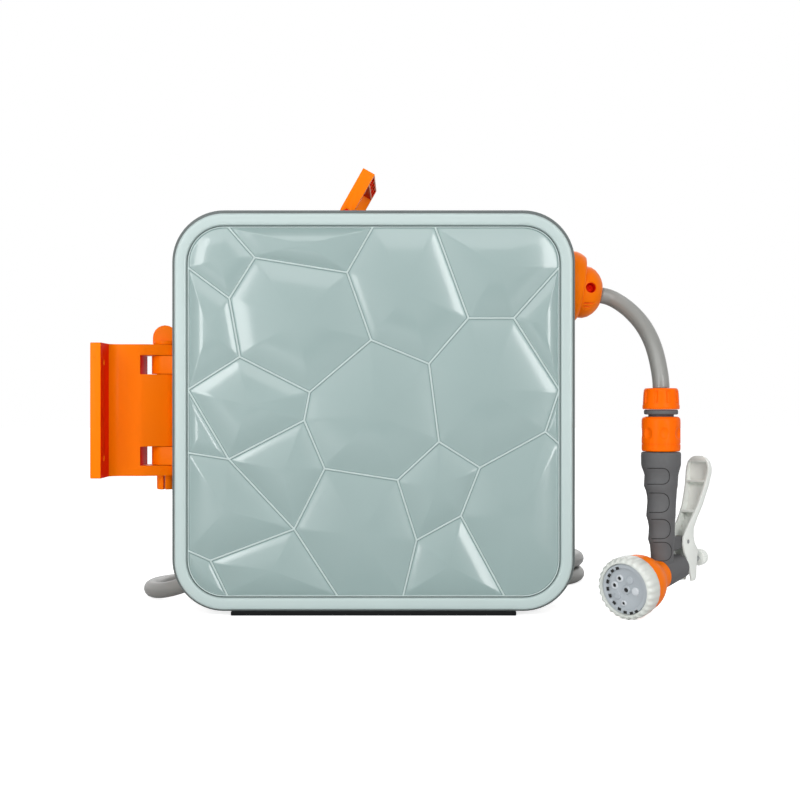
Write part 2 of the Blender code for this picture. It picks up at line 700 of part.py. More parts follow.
def wall_bracket():
    """Wall plate, hollow web and hinge barrel in one moulding."""
    plate_in = PIN_X - PLATE_DISTANCE
    plate_out = plate_in - PLATE_THICKNESS
    middle, half_height = (BRACKET_BOTTOM + BRACKET_TOP) / 2, (BRACKET_TOP - BRACKET_BOTTOM) / 2
    plate = prism(rounded(PLATE_WIDTH / 2, half_height, 0.002, 2, (0, middle)), "yz", plate_out, plate_in)
    bracket = solid("wall_bracket", plate, ORANGE)
    half = WEB_WIDTH / 2
    flare = PLATE_CORNER
    neck = PIN_X - BARREL_RADIUS - 0.004
    side = arc((PIN_X, 0), BARREL_RADIUS, -90, 90, 12)
    outline = side + [(neck, half), (plate_in + flare, half), (plate_in + flare / 3, half + flare / 3),
                      (plate_in - 0.001, half + flare), (plate_in - 0.001, -half - flare),
                      (plate_in + flare / 3, -half - flare / 3), (plate_in + flare, -half), (neck, -half)]
    join(bracket, prism(outline, "xy", BRACKET_BOTTOM, BRACKET_TOP))
    slot_left = PIN_X - BARREL_RADIUS - SLOT_GAP
    hollow_right = slot_left - WEB_WALL
    hollow = [(plate_in + WEB_WALL, -half + WEB_WALL), (hollow_right, -half + WEB_WALL),
              (hollow_right, half - WEB_WALL), (plate_in + WEB_WALL, half - WEB_WALL)]
    cut(bracket, prism(hollow, "xy", 0, CASE_HEIGHT))
    for low, high in knuckle_levels():
        cut(bracket, block((slot_left, -0.03, low - GAP), (PIN_X + 0.03, 0.03, high + GAP)))
    cut(bracket, rod((PIN_X, 0, 0), (PIN_X, 0, CASE_HEIGHT), PIN_RADIUS + GAP, 20))
    for y in (-PLATE_WIDTH / 2 + 0.018, PLATE_WIDTH / 2 - 0.018):
        for z in (BRACKET_BOTTOM + 0.020, BRACKET_TOP - 0.020):
            cut(bracket, rod((plate_out - 0.01, y, z), (plate_in + 0.01, y, z), MOUNT_SCREW_RADIUS, 12))


def hinge_pin():
    bottom = BRACKET_BOTTOM - PIN_TAIL
    head = BRACKET_TOP + GAP
    profile = [(bottom, PIN_RADIUS - 0.001), (bottom + 0.001, PIN_RADIUS), (head, PIN_RADIUS),
               (head, BARREL_RADIUS - 0.002), (head + 0.0035, BARREL_RADIUS - 0.002)]
    pin = solid("hinge_pin", turned(profile, (PIN_X, 0, 0), ALONG_Z, 20), ORANGE, (PIN_X, 0, 0))
    half = TAB_WIDTH / 2
    centre = head + TAB_HEIGHT - half
    outline = arc((PIN_X, centre), half, 0, 180, 10)
    outline += [(PIN_X - half, head + 0.0005), (PIN_X + half, head + 0.0005)]
    join(pin, prism(outline, "xz", -TAB_THICKNESS / 2, TAB_THICKNESS / 2))
    cut(pin, block((PIN_X - 0.001, -0.02, bottom - 0.01), (PIN_X + 0.001, 0.02, bottom + PIN_TAIL)))


def axle():
    back = REAR_INSIDE - GAP
    foot = back - AXLE_FOOT_THICKNESS
    front = PULLEY_FRONT - 0.001
    groove = AXLE_RADIUS - SEAL_SECTION + RUNNING_GAP
    profile = [(back, AXLE_FOOT_RADIUS), (foot, AXLE_FOOT_RADIUS), (foot, AXLE_RADIUS)]
    for place in seal_places():
        half = SEAL_SECTION / 2 + GAP
        profile += [(place + half, AXLE_RADIUS), (place + half, groove - GAP)]
        profile += [(place - half, groove - GAP), (place - half, AXLE_RADIUS)]
    profile.append((front, AXLE_RADIUS))
    post = solid("axle_post", turned(profile, AXLE, ALONG_Y, 24), NYLON, AXLE)
    way = Vector((math.cos(SPIGOT_ANGLE), 0, math.sin(SPIGOT_ANGLE)))
    root = AXLE + INLET_PLANE * ALONG_Y
    join(post, rod(root + 0.002 * way, root + SPIGOT_REACH * way, SPIGOT_RADIUS, 16))
    cut(post, rod((0, front - 0.01, AXLE_Z), (0, INLET_PLANE + AXLE_BORE, AXLE_Z), AXLE_BORE, 12))
    cut(post, rod(root, root + 0.1 * way, AXLE_BORE, 12))
    port = AXLE + HUB_PIPE_Y * ALONG_Y
    cut(post, rod(port, port + 0.02 * ALONG_Z, AXLE_BORE * 0.8, 12))
    cap = [(front - GAP, AXLE_RADIUS + 0.003), (front - 0.004, AXLE_RADIUS + 0.003),
           (front - 0.0048, AXLE_RADIUS)]
    plug = [(front + 0.004, AXLE_BORE - GAP), (front - GAP, AXLE_BORE - GAP)]
    solid("axle_cap", turned(plug + cap, AXLE, ALONG_Y, 24), NYLON)
    for name, place in zip(("axle_seal_front", "axle_seal_rear"), seal_places()):
        middle, section = groove + SEAL_SECTION / 2 - GAP, (SEAL_SECTION - 2 * GAP) / 2
        ring = [(place + a, middle + b) for a, b in arc((0, 0), section, 0, 315, 7)]
        solid(name, turned(ring, AXLE, ALONG_Y, 16, ring=True), RUBBER)


def seal_places():
    return (HUB_PIPE_Y + 0.012, HUB_PIPE_Y - 0.012)


def drum():
    inner, outer = CORE_RADIUS - CORE_WALL, CORE_RADIUS
    hub = HUB_BORE + HUB_WALL
    web = OUTLET_Y - WEB_THICKNESS / 2
    profile = [
        (DRUM_FRONT, HUB_BORE), (DRUM_FRONT, hub), (web, hub), (web, inner), (DRUM_FRONT, inner),
        (DRUM_FRONT, outer), (DRUM_BACK, outer), (DRUM_BACK, inner), (web + WEB_THICKNESS, inner),
        (web + WEB_THICKNESS, hub), (DRUM_BACK, hub), (DRUM_BACK, HUB_BORE),
    ]
    core = solid("drum_core", turned(profile, AXLE, ALONG_Y, 32, ring=True), BLACK, AXLE)
    port = AXLE + HUB_PIPE_Y * ALONG_Y
    cut(core, rod(port, port + (hub + 0.003) * ALONG_Z, AXLE_BORE * 0.8, 12))
    pipe = rod(port + (hub + GAP) * ALONG_Z, port + (inner - 0.0010) * ALONG_Z, 1.4 * AXLE_BORE, 12)
    solid("hub_pipe", pipe, BLACK, AXLE)
    for name, face, way in (("drum_flange_front", DRUM_FRONT - GAP, -1),
                            ("drum_flange_rear", BACK_FLANGE_Y, 1)):
        far, lip = face + way * FLANGE_THICKNESS, face - way * FLANGE_LIP
        rim = FLANGE_RADIUS - 0.003
        flange = [(face, HUB_BORE), (face, rim), (lip, rim), (lip, FLANGE_RADIUS), (far, FLANGE_RADIUS),
                  (far, HUB_BORE)]
        solid(name, turned(flange, AXLE, ALONG_Y, 32, ring=True), BLACK, AXLE)
    coil = [(DRUM_FRONT + GAP, outer + GAP), (DRUM_FRONT + GAP, WINDING_RADIUS),
            (DRUM_BACK - GAP, WINDING_RADIUS), (DRUM_BACK - GAP, outer + GAP)]
    solid("hose_winding", turned(coil, AXLE, ALONG_Y, 32, ring=True), HOSE_GREY, AXLE)
    pulley = [(PULLEY_BACK, HUB_BORE), (PULLEY_BACK, PULLEY_RADIUS), (PULLEY_FRONT, PULLEY_RADIUS),
              (PULLEY_FRONT, HUB_BORE)]
    solid("drum_pulley", turned(pulley, AXLE, ALONG_Y, 24, ring=True), NYLON, AXLE)


def spring_cassette():
    inner = CASSETTE_RADIUS - CASSETTE_WALL
    profile = [
        (BEHIND_FLANGE, inner), (BEHIND_FLANGE, CASSETTE_RADIUS), (CASSETTE_BACK, CASSETTE_RADIUS),
        (CASSETTE_BACK, HUB_BORE), (CASSETTE_BACK - CASSETTE_WALL, HUB_BORE),
        (CASSETTE_BACK - CASSETTE_WALL, inner),
    ]
    solid("spring_cassette", turned(profile, AXLE, ALONG_Y, 28, ring=True), BLACK, AXLE)
    near, far = BEHIND_FLANGE + GAP, BEHIND_FLANGE + GAP + SPRING_WIDTH
    first, last = HUB_BORE + 2 * GAP, inner - 3 * GAP - SPRING_THICKNESS
    count = SPRING_TURNS * 14
    loops = []
    for i in range(count + 1):
        angle = 2 * math.pi * SPRING_TURNS * i / count
        way = Vector((math.cos(angle), 0, math.sin(angle)))
        radius = first + (last - first) * i / count
        low, high = AXLE + radius * way, AXLE + (radius + SPRING_THICKNESS) * way
        loops.append([low + near * ALONG_Y, high + near * ALONG_Y,
                      high + far * ALONG_Y, low + far * ALONG_Y])
    solid("mainspring", loft(loops), STEEL, AXLE)


def ratchet():
    outline = []
    for tooth in range(RATCHET_TEETH):
        start = 360 * tooth / RATCHET_TEETH + 5
        for angle, radius in ((0, RATCHET_ROOT), (3, RATCHET_TIP), (9, RATCHET_ROOT + 0.002)):
            a = math.radians(start + angle)
            outline.append((radius * math.cos(a), AXLE_Z + radius * math.sin(a)))
    inner = [(RATCHET_INNER * math.cos(a), AXLE_Z + RATCHET_INNER * math.sin(a))
             for a in (math.atan2(z - AXLE_Z, x) for x, z in outline)]
    near, far = BEHIND_FLANGE, BEHIND_FLANGE + RATCHET_THICKNESS
    loops = [raised(outline, "xz", near), raised(outline, "xz", far),
             raised(inner, "xz", far), raised(inner, "xz", near)]
    solid("ratchet_wheel", loft(loops, ring=True), NYLON, AXLE)
    pivot = AXLE + PAWL_PIVOT_RADIUS * Vector((math.cos(PAWL_ANGLE), 0, math.sin(PAWL_ANGLE)))
    hub = 2 * PAWL_PIN_RADIUS
    local = arc((0, 0), hub, -90, 90, 6) + [(-0.6 * PAWL_LENGTH, 0.0045), (-PAWL_LENGTH, 0.0015),
                                            (-PAWL_LENGTH, -0.0015), (-0.6 * PAWL_LENGTH, -0.0040)]
    turn = Matrix.Rotation(PAWL_ANGLE - PAWL_LIFT, 2)
    placed = [turn @ Vector(p) + Vector((pivot.x, pivot.z)) for p in local]
    pawl = solid("pawl", prism(placed, "xz", near + 0.0005, far - 0.0005), NYLON, pivot)
    cut(pawl, rod(pivot, pivot + 0.1 * ALONG_Y, PAWL_PIN_RADIUS + GAP, 12))
    back = REAR_INSIDE - GAP
    profile = [(back, 3 * PAWL_PIN_RADIUS), (back - 0.003, 3 * PAWL_PIN_RADIUS),
               (back - 0.006, 2 * PAWL_PIN_RADIUS), (far, 2 * PAWL_PIN_RADIUS),
               (far, PAWL_PIN_RADIUS), (near + 0.0005, PAWL_PIN_RADIUS)]
    solid("pawl_pin", turned(profile, pivot, ALONG_Y, 16), STEEL)


def stadium(radius):
    """The belt's path round both pulleys, at a distance from their axes."""
    one, two = Vector((0, AXLE_Z)), Vector((GUIDE_X, GUIDE_SCREW_Z))
    heading = math.degrees(math.atan2(two.y - one.y, two.x - one.x))
    far_end = arc(two, radius, heading - 90, heading + 90, 10)
    return far_end + arc(one, radius, heading + 90, heading + 270, 10)


def level_wind():
    front_cheek = DRUM_FRONT
    back_cheek = DRUM_BACK + CHEEK_THICKNESS
    wall = SIDE_X - WALL - GAP - RUNNING_GAP
    low, high = GUIDE_SCREW_Z - 0.020, GUIDE_ROD_Z + 0.0058
    left = GUIDE_X - CARRIAGE_DEPTH / 2
    web, near, far = wall - CHEEK_THICKNESS, front_cheek + CHEEK_THICKNESS, back_cheek - CHEEK_THICKNESS
    outline = [(left, front_cheek), (wall, front_cheek), (wall, back_cheek), (left, back_cheek),
               (left, far), (web, far), (web, near), (left, near)]
    frame = solid("guide_frame", prism(outline, "xy", low, high), NYLON)
    screw_line = Vector((GUIDE_X, 0, GUIDE_SCREW_Z))
    rod_line = Vector((GUIDE_X, 0, GUIDE_ROD_Z))
    cut(frame, rod(screw_line - 0.1 * ALONG_Y, screw_line + 0.1 * ALONG_Y, GUIDE_SCREW_RADIUS + GAP, 16))
    cut(frame, rod(rod_line - 0.1 * ALONG_Y, rod_line + 0.1 * ALONG_Y, GUIDE_ROD_RADIUS + GAP, 16))
    cut(frame, rod(OUTLET_START - 0.03 * OUTLET_WAY, OUTLET_START + 0.01 * OUTLET_WAY, THROAT_RADIUS, 20))
    ends = (PULLEY_FRONT - 0.001, back_cheek + 0.002)
    shaft = rod(screw_line + ends[0] * ALONG_Y, screw_line + ends[1] * ALONG_Y, GUIDE_SCREW_RADIUS, 16)
    solid("guide_screw", shaft, STEEL, screw_line)
    bore = GUIDE_SCREW_RADIUS + GAP
    pulley = [(PULLEY_BACK, bore), (PULLEY_BACK, PULLEY_RADIUS),
              (PULLEY_FRONT, PULLEY_RADIUS), (PULLEY_FRONT, bore)]
    solid("screw_pulley", turned(pulley, screw_line, ALONG_Y, 24, ring=True), NYLON, screw_line)
    bar = rod(rod_line + front_cheek * ALONG_Y, rod_line + back_cheek * ALONG_Y, GUIDE_ROD_RADIUS, 12)
    solid("guide_rod", bar, STEEL)
    inner, outer = PULLEY_RADIUS + GAP, PULLEY_RADIUS + GAP + BELT_THICKNESS
    loops = [raised(stadium(r), "xz", y) for r, y in
             ((outer, PULLEY_FRONT + 0.0005), (outer, PULLEY_BACK - 0.0005), (inner, PULLEY_BACK - 0.0005),
              (inner, PULLEY_FRONT + 0.0005))]
    solid("guide_belt", loft(loops, ring=True), RUBBER)


def hose_lead_height(x):
    """The height of the hose's middle between the drum and the outlet."""
    start, end = lead_start(), OUTLET_START - 0.006 * OUTLET_WAY
    return start.z + (end.z - start.z) * (x - start.x) / (end.x - start.x)


def lead_start():
    """Where the last turn leaves the drum, on the line that runs to the outlet."""
    across = Vector((OUTLET_START.x, OUTLET_START.z - AXLE_Z))
    angle = math.atan2(across.y, across.x) + math.acos(LEAD_RADIUS / across.length)
    return AXLE + Vector((LEAD_RADIUS * math.cos(angle), OUTLET_Y, LEAD_RADIUS * math.sin(angle)))


def carriage():
    middle = hose_lead_height(GUIDE_X)
    half, deep = CARRIAGE_WIDTH / 2, CARRIAGE_DEPTH / 2
    low, high = GUIDE_SCREW_Z - 0.010, GUIDE_ROD_Z + 0.009
    origin = Vector((GUIDE_X, OUTLET_Y, middle))
    deep -= 0.001
    shape = block((GUIDE_X - deep, OUTLET_Y - half, low), (GUIDE_X + deep, OUTLET_Y + half, high))
    body = solid("guide_carriage", shape, ORANGE, origin)
    reach = HOSE_RADIUS + 2 * ROLLER_RADIUS + 3 * GAP
    rise = HOSE_RADIUS + 0.0020
    cut(body, block((GUIDE_X - 0.02, OUTLET_Y - reach, middle - rise),
                    (GUIDE_X + 0.02, OUTLET_Y + reach, middle + rise)))
    for z, radius in ((GUIDE_SCREW_Z, GUIDE_SCREW_RADIUS), (GUIDE_ROD_Z, GUIDE_ROD_RADIUS)):
        cut(body, rod((GUIDE_X, -0.1, z), (GUIDE_X, 0.1, z), radius + GAP, 16))
    for name, side in (("guide_roller_front", -1), ("guide_roller_rear", 1)):
        place = Vector((GUIDE_X, OUTLET_Y + side * (HOSE_RADIUS + GAP + ROLLER_RADIUS), middle))
        shape = rod(place - (rise - GAP) * ALONG_Z, place + (rise - GAP) * ALONG_Z, ROLLER_RADIUS, 12)
        solid(name, shape, NYLON, place)


def outlet():
    rings = []
    for along, height, radius, lean in LIP_RINGS:
        way = Vector((math.cos(math.radians(lean)), 0, -math.sin(math.radians(lean))))
        rings.append(circle(Vector((OUTLET_START.x + along, OUTLET_Y, height)), way, radius, 32))
    lip = solid("outlet_lip", loft(rings), ORANGE)
    funnel = [(-0.03, THROAT_RADIUS), (SEAT_START, THROAT_RADIUS), (SEAT_END, SEAT_RADIUS),
              (SEAT_END + 0.02, SEAT_RADIUS)]
    cut(lip, turned(funnel, OUTLET_START, OUTLET_WAY, 32))
    steep = (SEAT_RADIUS - THROAT_RADIUS) / (SEAT_END - SEAT_START)
    slack = GAP * math.hypot(1, steep)
    nose, shoulder = SEAT_START + 0.0022, SEAT_START + 0.0076
    profile = [
        (nose, HOSE_RADIUS + 0.001), (nose, THROAT_RADIUS + (nose - SEAT_START) * steep - slack),
        (shoulder, THROAT_RADIUS + (shoulder - SEAT_START) * steep - slack),
        (0.0150, STOP_RADIUS), (0.0200, STOP_RADIUS - 0.0004), (0.0250, STOP_RADIUS - 0.0026),
        (0.0295, STOP_RADIUS - 0.0066), (0.0325, STOP_RADIUS - 0.0107), (0.0343, STOP_RADIUS - 0.0143),
        (STOP_END, STOP_RADIUS - 0.0165),
    ]
    for name, side in (("stop_half_front", -1), ("stop_half_rear", 1)):
        half = solid(name, turned(profile, OUTLET_START, OUTLET_WAY, 28), ORANGE)
        cut(half, rod(OUTLET_START - 0.02 * OUTLET_WAY, OUTLET_START + 0.06 * OUTLET_WAY,
                      HOSE_RADIUS + GAP, 16))
        edge = OUTLET_Y - side * 0.1
        inner = OUTLET_Y + side * GAP / 2
        cut(half, block((0.15, min(edge, inner), 0.2), (0.35, max(edge, inner), 0.45)))
    front = OUTLET_Y - STOP_RADIUS
    pocket = OUTLET_Y - HOSE_RADIUS - 0.0100
    place = Vector((STOP_SCREW_X, 0, STOP_SCREW_Z))
    half = bpy.data.objects["stop_half_front"]
    cut(half, rod(place + (front - 0.02) * ALONG_Y, place + pocket * ALONG_Y, STOP_POCKET_RADIUS, 16))
    cut(half, rod(place + (front - 0.02) * ALONG_Y, place + OUTLET_Y * ALONG_Y, SCREW_RADIUS + GAP, 12))
    tip = OUTLET_Y - HOSE_RADIUS - GAP - 0.0003
    head = pocket - GAP
    profile = [(head - 0.0030, SCREW_HEAD_RADIUS), (head, SCREW_HEAD_RADIUS), (head + 0.0001, SCREW_RADIUS),
               (tip, SCREW_RADIUS)]
    solid("stop_screw", turned(profile, place, ALONG_Y, 12), STEEL)


def hoses():
    lead = lead_start()
    angle = math.atan2(lead.z - AXLE_Z, lead.x)
    last_turn = []
    for i in range(8):
        a = angle + math.radians(88 - 11 * i)
        last_turn.append(AXLE + Vector((LEAD_RADIUS * math.cos(a), OUTLET_Y, LEAD_RADIUS * math.sin(a))))
    stop_end = OUTLET_START + (STOP_END + 0.001) * OUTLET_WAY
    inside = last_turn + [lead, OUTLET_START - 0.012 * OUTLET_WAY, OUTLET_START, stop_end]
    tube("hose_lead", [Vector(p) for p in inside], HOSE_DIAMETER, HOSE_GREY)
    start = stop_end + GAP * OUTLET_WAY
    end = Vector((NOZZLE_X, NOZZLE_Y, CONNECTOR_TOP + GAP))
    first, last = start + 0.4 * HOSE_DIAMETER * OUTLET_WAY, end + 0.8 * HOSE_DIAMETER * ALONG_Z
    middle = smooth_route([first, *OUTLET_ROUTE, last], 0.9 * HOSE_DIAMETER, OUTLET_WAY, -ALONG_Z)
    route = [start, *middle, end]
    tube("outlet_hose", route, HOSE_DIAMETER, HOSE_GREY)


def inlet_exit():
    """Where the inlet hose passes the case's rounded corner, and the way that it leaves."""
    corner = Vector((-SIDE_X + CASE_CORNER, EXIT_Y, CASE_BOTTOM + CASE_CORNER))
    place = corner + CASE_CORNER * Vector((math.cos(EXIT_ANGLE), 0, math.sin(EXIT_ANGLE)))
    level = math.cos(EXIT_SLOPE)
    way = Vector((-level * math.cos(EXIT_TURN), level * math.sin(EXIT_TURN), -math.sin(EXIT_SLOPE)))
    return place, way


def coil_point(sweep):
    """The coil goes in for a turn, climbs in the half turn where it reverses, and comes out on top."""
    angle = math.radians(sweep - 90)
    inner = sweep if sweep <= 450 else 900 - sweep
    radius = COIL_RADIUS - COIL_PITCH * inner / 360
    climb = min(max((sweep - 360) / 180, 0), 1)
    height = HOSE_RADIUS + GAP / 3 + COIL_PITCH * climb * climb * (3 - 2 * climb)
    x, y = COIL_CENTRE
    return Vector((x + radius * math.cos(angle), y + radius * math.sin(angle), height))


def inlet_side():
    place, way = inlet_exit()
    inner, outer = place - GROMMET_LENGTH / 2 * way, place + GROMMET_LENGTH / 2 * way
    bore = HOSE_RADIUS + GAP
    collar = [(0, bore), (0, GROMMET_RADIUS), (GROMMET_LENGTH * 0.8, GROMMET_RADIUS),
              (GROMMET_LENGTH, bore + 0.0015), (GROMMET_LENGTH, bore)]
    solid("hose_grommet", turned(collar, inner, way, 16, ring=True), RUBBER)
    spigot = Vector((math.cos(SPIGOT_ANGLE), 0, math.sin(SPIGOT_ANGLE)))
    end = AXLE + INLET_PLANE * ALONG_Y + (SPIGOT_REACH + GAP) * spigot
    before = end + HOSE_DIAMETER * spigot
    outside = outer + 0.0004 * way
    behind = inner - 0.004 * way
    hidden = smooth_route([behind, *INSIDE_ROUTE, before], HOSE_STEP, -way, -spigot)
    tube("inlet_hose_inside", [outside, *hidden, end], HOSE_DIAMETER, HOSE_GREY)
    start = outside + GAP * way
    entry = coil_point(0)
    straight = entry - HOSE_DIAMETER * ALONG_X
    first, last = start + HOSE_RADIUS * way, straight - HOSE_DIAMETER * ALONG_X
    route = smooth_route([first, *INLET_ROUTE, last], HOSE_STEP, way, ALONG_X)
    tube("inlet_hose", [start, *route, straight - GAP * ALONG_X], HOSE_DIAMETER, HOSE_GREY)
    loops = [coil_point(sweep) for sweep in range(0, COIL_SWEEP + 1, 15)]
    finish_at = Vector((TAP_X + GAP, TAP_Y, COLLAR_RADIUS + GAP))
    before = finish_at + HOSE_DIAMETER * ALONG_X
    tail = smooth_route([loops[-1], *TAIL_ROUTE, before], HOSE_STEP, -ALONG_X, -ALONG_X)
    tube("inlet_hose_coil", [straight, *loops, *tail[1:], finish_at], HOSE_DIAMETER, HOSE_GREY, 1)
    connector("tap", Vector((TAP_X, TAP_Y, COLLAR_RADIUS + GAP)), -ALONG_X)


def connector(label, top, way):
    """A quick connector: clamping nut, body and sliding collar, from the hose's end along a way."""
    nut = [(0, NUT_TOP_RADIUS), (NUT_LENGTH * 0.25, NUT_TOP_RADIUS + 0.0012), (NUT_LENGTH * 0.4, NUT_RADIUS),
           (NUT_LENGTH, NUT_RADIUS)]
    solid(f"{label}_connector_nut", turned(nut, top, way, 24), ORANGE)
    flange = NUT_LENGTH + GAP
    neck = flange + CONNECTOR_FLANGE
    body = [(flange, CONNECTOR_FLANGE_RADIUS), (neck, CONNECTOR_FLANGE_RADIUS),
            (neck, CONNECTOR_NECK_RADIUS), (neck + CONNECTOR_CORE, CONNECTOR_NECK_RADIUS)]
    solid(f"{label}_connector_body", turned(body, top, way, 24), GREY)
    start = neck + COLLAR_TRAVEL + GAP
    bore = CONNECTOR_NECK_RADIUS + GAP
    stop = start + COLLAR_LENGTH
    collar = [(start, bore), (start, COLLAR_RADIUS - 0.001), (start + 0.0015, COLLAR_RADIUS),
              (stop - 0.0015, COLLAR_RADIUS), (stop, COLLAR_RADIUS - 0.001), (stop, bore)]
    solid(f"{label}_connector_collar", turned(collar, top, way, 24, ring=True), ORANGE, top)


GRIP_SECTIONS = [
    # height, half depth, half width, shift along X
    (GRIP_TOP, 0.0192, 0.0192, 0), (GRIP_TOP - 0.0012, 0.0198, 0.0198, 0),
    (GRIP_TOP - 0.0145, 0.0196, 0.0196, 0), (0.1400, 0.0166, 0.0166, 0.0008),
    (0.1300, 0.0158, 0.0156, 0.0010), (0.1150, 0.0146, 0.0142, 0.0014),
    (0.0980, 0.0140, 0.0132, 0.0016), (0.0780, 0.0134, 0.0118, 0.0018),
    (0.0620, 0.0130, 0.0108, 0.0022), (BARREL_HEIGHT, 0.0130, 0.0104, 0.0024),
]


def barrel_point(along, up=0.0):
    """A place in the nozzle's own frame: along the barrel's axis to the front, and square to it."""
    way = Vector((-math.cos(BARREL_TILT), 0, -math.sin(BARREL_TILT)))
    square = Vector((-math.sin(BARREL_TILT), 0, math.cos(BARREL_TILT)))
    return Vector((0, 0, BARREL_HEIGHT)) + along * way + up * square


def nozzle():
    frame = bpy.data.objects.new("nozzle_frame", None)
    bpy.context.scene.collection.objects.link(frame)
    frame.location = (NOZZLE_X, NOZZLE_Y, 0)
    frame.rotation_euler = (0, 0, NOZZLE_TURN)
    way = barrel_point(1) - barrel_point(0)
    loops = []
    for z, deep, wide, shift in GRIP_SECTIONS:
        turns = [2 * math.pi * i / 20 for i in range(20)]
        loops.append([Vector((shift + deep * math.cos(a), wide * math.sin(a), z)) for a in turns])
    body = solid("nozzle_body", loft(loops), GRIP_GREY, parent=frame)
    barrel = [(-BARREL_REAR, BARREL_RADIUS_REAR - 0.001), (-BARREL_REAR + 0.001, BARREL_RADIUS_REAR),
              (BELL_REAR, BARREL_RADIUS_FRONT)]
    join(body, turned(barrel, barrel_point(0), way, 24))
    ear = LEVER_EAR_WIDTH / 2
    outline = arc((LEVER_PIVOT_X, LEVER_PIVOT_Z), LEVER_EAR_RADIUS, -90, 90, 8)
    root = 0.008
    outline += [(root, LEVER_PIVOT_Z + 1.2 * LEVER_EAR_RADIUS),
                (root, LEVER_PIVOT_Z - 1.5 * LEVER_EAR_RADIUS)]
    join(body, prism(outline, "xz", -ear, ear))
    cut(body, rod((LEVER_PIVOT_X, -0.02, LEVER_PIVOT_Z), (LEVER_PIVOT_X, 0.02, LEVER_PIVOT_Z),
                  LEVER_PIN_RADIUS + GAP, 12))
    cut(body, turned([(BELL_REAR - GAP, BELL_NECK_RADIUS + GAP), (RING_FRONT, BELL_NECK_RADIUS + GAP)],
                     barrel_point(0), way, 24))
    join(body, turned([(0, FACE_SPIGOT_RADIUS), (RING_FRONT - 0.0060, FACE_SPIGOT_RADIUS)],
                      barrel_point(0), way, 16))
    stem_tip = 0.020
    cut(body, rod(barrel_point(-stem_tip + 0.012), barrel_point(-0.08), STEM_RADIUS + GAP, 12))
    neck = BELL_REAR + BELL_NECK
    bell = [(BELL_REAR, BELL_NECK_RADIUS - 0.001), (BELL_REAR + 0.001, BELL_NECK_RADIUS)]
    bell += [(neck, BELL_NECK_RADIUS), *[(neck + along, radius) for along, radius in BELL_SWELL]]
    bell.append((BELL_FRONT, BELL_RADIUS))
    part = solid("nozzle_bell", turned(bell, barrel_point(0), way, 28), ORANGE, parent=frame)
    spigot = [(along, FACE_SPIGOT_RADIUS + GAP) for along in (0, 0.1)]
    cut(part, turned(spigot, barrel_point(0), way, 16))
    start = BELL_FRONT + GAP
    ring = [
        (start, FACE_RADIUS + GAP), (start, RING_RADIUS - 0.0022), (start + 0.0030, RING_RADIUS),
        (RING_FRONT - 0.0070, RING_RADIUS), (RING_FRONT - 0.0015, RING_RADIUS - 0.0022),
        (RING_FRONT, RING_RADIUS - 0.0046), (RING_FRONT - 0.0012, FACE_RADIUS + GAP),
    ]
    centre = barrel_point(start)
    solid("dial_ring", turned(ring, barrel_point(0), way, 32, ring=True), LIGHT_GREY, centre, frame)
    profile = [(start, FACE_SPIGOT_RADIUS + GAP), (start, FACE_RADIUS), (RING_FRONT - 0.0020, FACE_RADIUS),
               (RING_FRONT - 0.0022, FACE_RADIUS - 0.0042), (RING_FRONT - 0.0040, FACE_RADIUS - 0.0046),
               (RING_FRONT - 0.0040, 0.0030), (RING_FRONT - 0.0055, 0.0030),
               (RING_FRONT - 0.0055, FACE_SPIGOT_RADIUS + GAP)]
    solid("spray_face", turned(profile, barrel_point(0), way, 28, ring=True), FACE_GREY, centre, frame)
    stem = [(-stem_tip + 0.0110, STEM_RADIUS), (-KNOB_START - 0.004, STEM_RADIUS)]
    solid("valve_stem", turned(stem, barrel_point(0), way, 12), STEEL, barrel_point(-KNOB_START), frame)
    knob = [(-KNOB_START - 0.004 - GAP, STEM_RADIUS), (-KNOB_START - 0.004 - GAP, KNOB_RADIUS - 0.001)]
    knob += [(-KNOB_START - 0.0055, KNOB_RADIUS), (-KNOB_START - KNOB_LENGTH + 0.0020, KNOB_RADIUS),
             (-KNOB_START - KNOB_LENGTH, KNOB_RADIUS - 0.0015)]
    solid("flow_knob", turned(knob, barrel_point(0), way, 20), LIGHT_GREY, barrel_point(-KNOB_START), frame)
    pivot, half = Vector((LEVER_PIVOT_X, 0, LEVER_PIVOT_Z)), LEVER_WIDTH_LOW / 2
    pin = rod(pivot - half * ALONG_Y, pivot + half * ALONG_Y, LEVER_PIN_RADIUS, 12)
    solid("lever_pin", pin, STEEL, parent=frame)
    lever(frame)


LEVER_SECTIONS = [
    # along X to the outer face, height, depth of the channel, half width
    (0.0790, 0.1574, 0.0040, 0.0040), (0.0800, 0.1550, 0.0050, 0.0085), (0.0808, 0.1510, 0.0060, 0.0118),
    (0.0813, 0.1450, 0.0068, 0.0135), (0.0808, 0.1390, 0.0076, 0.0134), (0.0780, 0.1270, 0.0090, 0.0120),
    (0.0688, 0.1063, 0.0105, 0.0098), (0.0600, 0.0940, 0.0120, 0.0086), (0.0530, 0.0830, 0.0150, 0.0081),
    (0.0530, 0.0750, 0.0210, 0.0080), (0.0550, 0.0680, 0.0240, 0.0080), (0.0625, 0.0600, 0.0290, 0.0080),
    (0.0600, 0.0540, 0.0220, 0.0080), (0.0595, 0.0450, 0.0175, 0.0078), (0.0593, 0.0330, 0.0110, 0.0075),
    (0.0575, 0.0285, 0.0075, 0.0070),
]
# The channel's hollow runs between these sections, with a rib at each break
LEVER_HOLLOWS = [(2, 4.6), (4.75, 6.4), (6.55, 15.2)]


def lever_section(place):
    """A section of the lever at a whole or broken number along its list."""
    index = min(int(place), len(LEVER_SECTIONS) - 2)
    share = place - index
    pairs = zip(LEVER_SECTIONS[index], LEVER_SECTIONS[index + 1])
    return [a + (b - a) * share for a, b in pairs]


